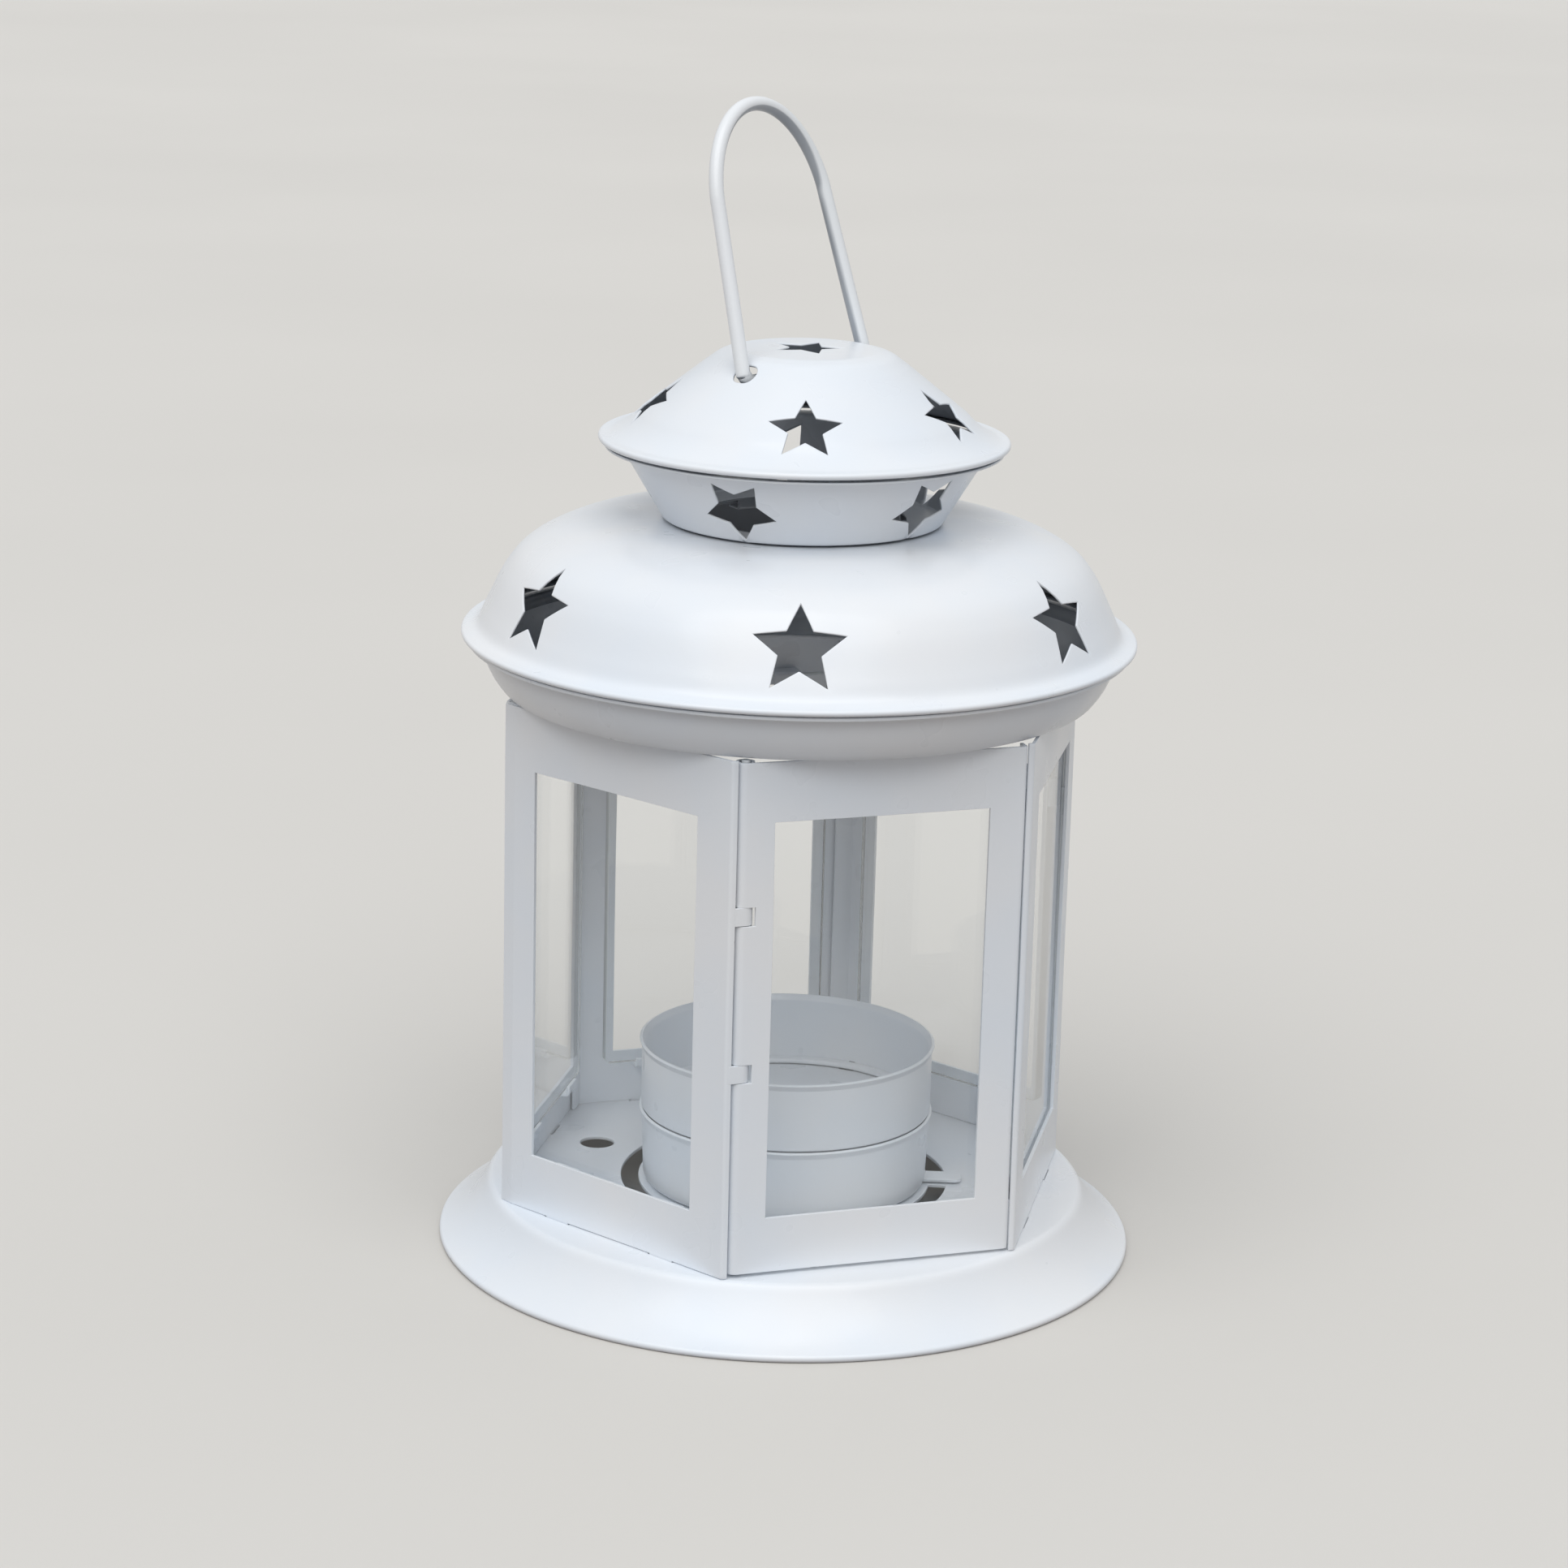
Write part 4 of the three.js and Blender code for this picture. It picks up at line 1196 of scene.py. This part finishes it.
def addDomedRoof(roof):
    top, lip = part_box("lower_roof")[1].z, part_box("lower_roof")[1].x
    bottom, flat = trayTop + body["seat"], roof["flatRadius"]
    edge = beadedEdge(lip, bottom, roof)
    dome = shaped(roof["dome"], lip, flat, bottom, top)
    points = [*edge, *spline([edge[-1], *dome, (flat, top)], 10)[1:], (roof["throat"], top)]
    line = densified(points, roof["rowStep"])
    level = bottom + (top - bottom) * roof["starLevel"]
    holes = starHoles(line, level, roof, starOutline(roof["starRadius"]))
    bm = bmesh.new()
    addTurned(bm, line, roof["steps"], handMade(*roof["uneven"]), holes, roof["seam"])
    addSheetPiece("domedRoof", bm, "lower_roof", thickness=roof["sheet"])


chimneyNeck = {
    "sheet": 0.42 * mm,
    "footRadius": 23.4 * mm,
    "footRing": 6 * mm,
    "topRadius": 30.5 * mm,
    "lipRise": 0.2 * mm,
    "bend": 1.1 * mm,
    "tabCount": 4,
    "tabBend": 0.8 * mm,
    "starCount": 5,
    "starRadius": 6.5 * mm,
    "starWaist": 0.54,
    "starLevel": 0.455,
    "starAzimuth": -23 * degree,
    "starSpacing": 70.5 * degree,
    "seam": -62 * degree,
    "steps": 150,
    "rowStep": 1.2 * mm,
    "uneven": (0.06 * mm, 22 * mm, 8),
}


def addChimneyNeck(neck):
    roofTop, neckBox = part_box("lower_roof")[1].z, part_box("chimney_neck")
    bottom, top, lip = roofTop + body["seat"], neckBox[1].z, neckBox[1].x
    head = top - sheet
    points = [
        (neck["footRadius"] - neck["footRing"], bottom),
        (neck["footRadius"], bottom),
        (neck["topRadius"], head - neck["lipRise"]),
        (lip, head),
    ]
    line = densified(rounded(points, neck["bend"], 5), neck["rowStep"])
    level = bottom + (top - bottom) * neck["starLevel"]
    star = starOutline(neck["starRadius"], neck["starWaist"], math.pi)
    holes = starHoles(line, level, neck, star)
    bm = bmesh.new()
    addTurned(bm, line, neck["steps"], handMade(*neck["uneven"]), holes, neck["seam"])
    # tabs go down through the roof's throat and are turned out under it
    inner = domedRoof["throat"] - 2 * body["seat"] - sheet
    under = roofTop - 2 * sheet - body["seat"]
    tab = [(inner, bottom + body["seat"]), (inner, under), (inner + body["tabLength"], under)]
    tab = rounded(tab, neck["tabBend"], 4)
    half = body["tabWidth"] / 2
    for k in range(neck["tabCount"]):
        addStrip(bm, tab, half, -half, sideTurn / 2 + k * 2 * math.pi / neck["tabCount"])
    addSheetPiece("chimneyNeckCone", bm, "chimney_neck", thickness=neck["sheet"])


chimneyCap = {
    "sheet": 0.42 * mm,
    "bead": 0.55 * mm,
    "hemWidth": 2.2 * mm,
    "sideWidth": 21.6 * mm,
    "eave": [(0.074, 0.07), (0.213, 0.141), (0.329, 0.32)],
    "shoulder": [(0.8056, 0.84), (0.926, 0.9615), (1.046, 1)],
    "shoulderBend": 5 * mm,
    "topRadius": 9.6 * mm,
    "topRings": (5.6 * mm, 6.9 * mm, 8.3 * mm),
    "topStarShift": 1.6 * mm,
    "topStarTurn": -18 * degree,
    "starCount": 5,
    "starRadius": 6.3 * mm,
    "starLevel": 0.43,
    "starAzimuth": 0,
    "starSpacing": 68.3 * degree,
    "bailHoleCircle": 16.6 * mm,
    "bailHoleSize": (4.1 * mm, 3.2 * mm),  # longer along the swing
    "bailAzimuth": -36.8 * degree,
    "seam": 100 * degree,
    "steps": 150,
    "rowStep": 1.2 * mm,
    "topMargin": 0.3 * mm,
    "uneven": (0.06 * mm, 22 * mm, 11),
}


def bailHole(cap, azimuth):
    length, width = cap["bailHoleSize"]
    reach = (length - width) / 2
    loop = arc((reach, 0), width / 2, -90, 90, 14) + arc((-reach, 0), width / 2, 90, 270, 14)
    spin = Matrix.Rotation(azimuth, 2)
    middle = polar(cap["bailHoleCircle"], azimuth, 0).xy
    return [tuple(spin @ Vector(p) + middle) for p in loop]


def addChimneyCap(cap):
    low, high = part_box("chimney_cap")
    bottom, top, lip = low.z, high.z, high.x
    inner = lip - cap["sideWidth"]
    edge = beadedEdge(lip, bottom, cap)
    side = quadratic(*shaped(cap["eave"], lip, inner, bottom, top), 10)
    shoulder = shaped(cap["shoulder"], lip, inner, bottom, top)
    crown = rounded([side[-1], *shoulder, (cap["topRadius"], top)], cap["shoulderBend"])
    line = densified([*edge, *side, *crown[1:]], cap["rowStep"])
    level = bottom + (top - bottom) * cap["starLevel"]
    seam, steps = cap["seam"], cap["steps"]
    holes = starHoles(line, level, cap, starOutline(cap["starRadius"]))
    for turn in (0, math.pi):
        holes.append(holeOnLine(line, bailHole(cap, cap["bailAzimuth"] + turn), seam))
    wobble = handMade(*cap["uneven"])
    bm = bmesh.new()
    addTurned(bm, line, steps, wobble, holes, seam)
    # the flat top closes the turned sheet
    rim = line[-1][0]
    azimuths = [seam + 2 * math.pi * k / steps for k in range(steps)]
    outline = [tuple(polar(rim, azimuth, 0).xy) for azimuth in azimuths]
    star = starOutline(cap["starRadius"], turn=cap["topStarTurn"])
    star = facing([(x, y + cap["topStarShift"]) for x, y in star])
    inside = []
    for radius in cap["topRings"]:
        inside += arc((0, 0), radius, 0, 360, 36)[:-1]
    addPattern(bm, outline, [star], inside, lambda x, y: wobble(Vector((x, y, top))),
               cap["topMargin"])
    addSheetPiece("chimneyCapDome", bm, "chimney_cap", thickness=cap["sheet"])


addRoofTray(roofTray)
addDomedRoof(domedRoof)
addChimneyNeck(chimneyNeck)
addChimneyCap(chimneyCap)
print("roof and chimney made")

# Wire bail

wireBail = {
    "diameter": 2.4 * mm,
    "foot": 16.6 * mm,
    "shoulder": 14.6 * mm,
    "archStart": 27.05 * mm,
    "archHeight": 17.74 * mm,
    "hook": 5.2 * mm,
    "bend": 2.2 * mm,
    "nip": ((0, 0.5), (0.15 * mm, 0.85)),  # depth from the end, share of the radius
    "lean": 15.95 * degree,
    "azimuth": chimneyCap["bailAzimuth"],
    "sides": 20,
    "partsPerPoint": 8,
}


def bailLine(bail):
    # hook, leg and half of the arch, then the same mirrored
    foot, bend, shoulder = bail["foot"], bail["bend"], bail["shoulder"]
    half = [(foot - bend - bail["hook"], 0.0), *arc((foot - bend, bend), bend, -90, 0, 4)]
    for share in (1 / 3, 2 / 3):
        height = bend + (bail["archStart"] - bend) * share
        half.append((foot + (shoulder - foot) * share, height))
    for x, y in arc((0, 0), 1, 0, 90, 7):
        half.append((shoulder * x, bail["archStart"] + bail["archHeight"] * y))
    return half + [(-x, y) for x, y in reversed(half[:-1])]


def addBail(bail):
    hooks = Vector((0, 0, frame["joints"][1]["pos_m"][2]))
    spin = Matrix.Rotation(bail["azimuth"] - math.pi / 2, 3, "Z")
    spin = spin @ Matrix.Rotation(bail["lean"], 3, "X")
    line = spline(bailLine(bail), bail["partsPerPoint"])
    path = [spin @ Vector((x, 0, y)) + hooks for x, y in line]
    across = spin @ Vector((0, 1, 0))
    rings = []
    for k, point in enumerate(path):
        ahead = (path[min(k + 1, len(path) - 1)] - path[max(k - 1, 0)]).normalized()
        side = ahead.cross(across).normalized()
        if 0 < k < len(path) - 1:
            rings.append((point, side, 1))
            continue
        # the ends are nipped and lightly rounded
        inward = -ahead if k else ahead
        ends = [(point + inward * depth, side, share) for depth, share in bail["nip"]]
        rings += ends[::-1] if k else ends
    bm = bmesh.new()
    loops = []
    for point, side, share in rings:
        radius = bail["diameter"] / 2 * share
        angles = [2 * math.pi * k / bail["sides"] for k in range(bail["sides"])]
        spokes = [across * math.cos(a) + side * math.sin(a) for a in angles]
        loops.append([bm.verts.new(point + spoke * radius) for spoke in spokes])
    for first, second in zip(loops, loops[1:]):
        for k in range(bail["sides"]):
            n = (k + 1) % bail["sides"]
            bm.faces.new((first[k], first[n], second[n], second[k]))
    bm.faces.new(loops[0][::-1])
    bm.faces.new(loops[-1])
    bmesh.ops.recalc_face_normals(bm, faces=bm.faces)
    addObject("bailWire", bm, enamelledWire, ["bail_handle"], "bail", "enamelled_wire", edge=None)


addBail(wireBail)
print("bail made")

# Studio

studio = {
    "floorColour": (0.67, 0.65, 0.615, 1),
    "floorLighter": 1.03,
    "floorToneSize": 3.0,
    "floorRoughness": 0.75,
    "floorSpecular": 0.2,
    "floorBounce": (0.25, 0.215, 0.19, 1),  # what the floor hands back to the lantern
    "floorSize": 9,
    "backdropColour": (0.69, 0.675, 0.65, 1),
    "worldColour": (0.93, 0.96, 1.0, 1),
    "worldStrength": 0.6,
    "skyAngle": 64 * degree,
    "skyFrom": (-0.08, -0.56, 0.83),
    "skyStrength": 1.75,
    "skyColour": (1, 0.995, 0.985),
}


def isSeen(tree):
    # 1 for what is looked at, also in gloss and through glass; 0 for what lights the lantern
    path = addNode(tree, "LightPath").outputs
    seen = calculate(tree, "MAXIMUM", path["Is Camera Ray"], path["Is Glossy Ray"])
    return calculate(tree, "MAXIMUM", seen, path["Is Transmission Ray"])


def makeFloorMaterial(name):
    material, tree, shader = newMaterial(name)
    place = addNode(tree, "TexCoord").outputs["Object"]
    colour = studio["floorColour"]
    lighter = tuple(c * studio["floorLighter"] for c in colour[:3]) + (1,)
    tones = {"size": studio["floorToneSize"], "first": colour, "second": lighter}
    tone = placeGroup(tree, toneDrift, vector=place, **tones)["Color"]
    tone = blendColours(tree, isSeen(tree), studio["floorBounce"], tone)
    tree.links.new(tone, shader.inputs["Base Color"])
    shader.inputs["Roughness"].default_value = studio["floorRoughness"]
    shader.inputs["Specular IOR Level"].default_value = studio["floorSpecular"]
    return material


def addFloor():
    half = studio["floorSize"] / 2
    bm = bmesh.new()
    addGrid(bm, [-half, half], [-half, half], lambda x, y: Vector((x, y, 0)))
    mesh = bpy.data.meshes.new("studioFloor")
    bm.to_mesh(mesh)
    bm.free()
    mesh.materials.append(makeFloorMaterial("paleFloor"))
    floor = bpy.data.objects.new("studioFloor", mesh)
    bpy.context.scene.collection.objects.link(floor)


def addSky(name):
    data = bpy.data.lights.new(name, "SUN")
    data.angle = studio["skyAngle"]
    data.energy = studio["skyStrength"]
    data.color = studio["skyColour"]
    light = bpy.data.objects.new(name, data)
    down = -Vector(studio["skyFrom"])
    light.rotation_euler = down.to_track_quat("-Z", "Y").to_euler()
    bpy.context.scene.collection.objects.link(light)


def setWorld():
    world = bpy.data.worlds.new("studioWorld")
    world.use_nodes = True
    tree = world.node_tree
    light = tree.nodes["Background"]
    light.inputs["Color"].default_value = studio["worldColour"]
    light.inputs["Strength"].default_value = studio["worldStrength"]
    backdrop = addNode(tree, "Background", {"Color": studio["backdropColour"]}).outputs[0]
    inputs = {0: isSeen(tree), 1: light.outputs[0], 2: backdrop}
    both = addNode(tree, "MixShader", inputs).outputs[0]
    tree.links.new(both, tree.nodes["World Output"].inputs["Surface"])
    bpy.context.scene.world = world


addFloor()
addSky("softSky")
setWorld()
bpy.context.scene.view_settings.view_transform = "Standard"
print("studio set")
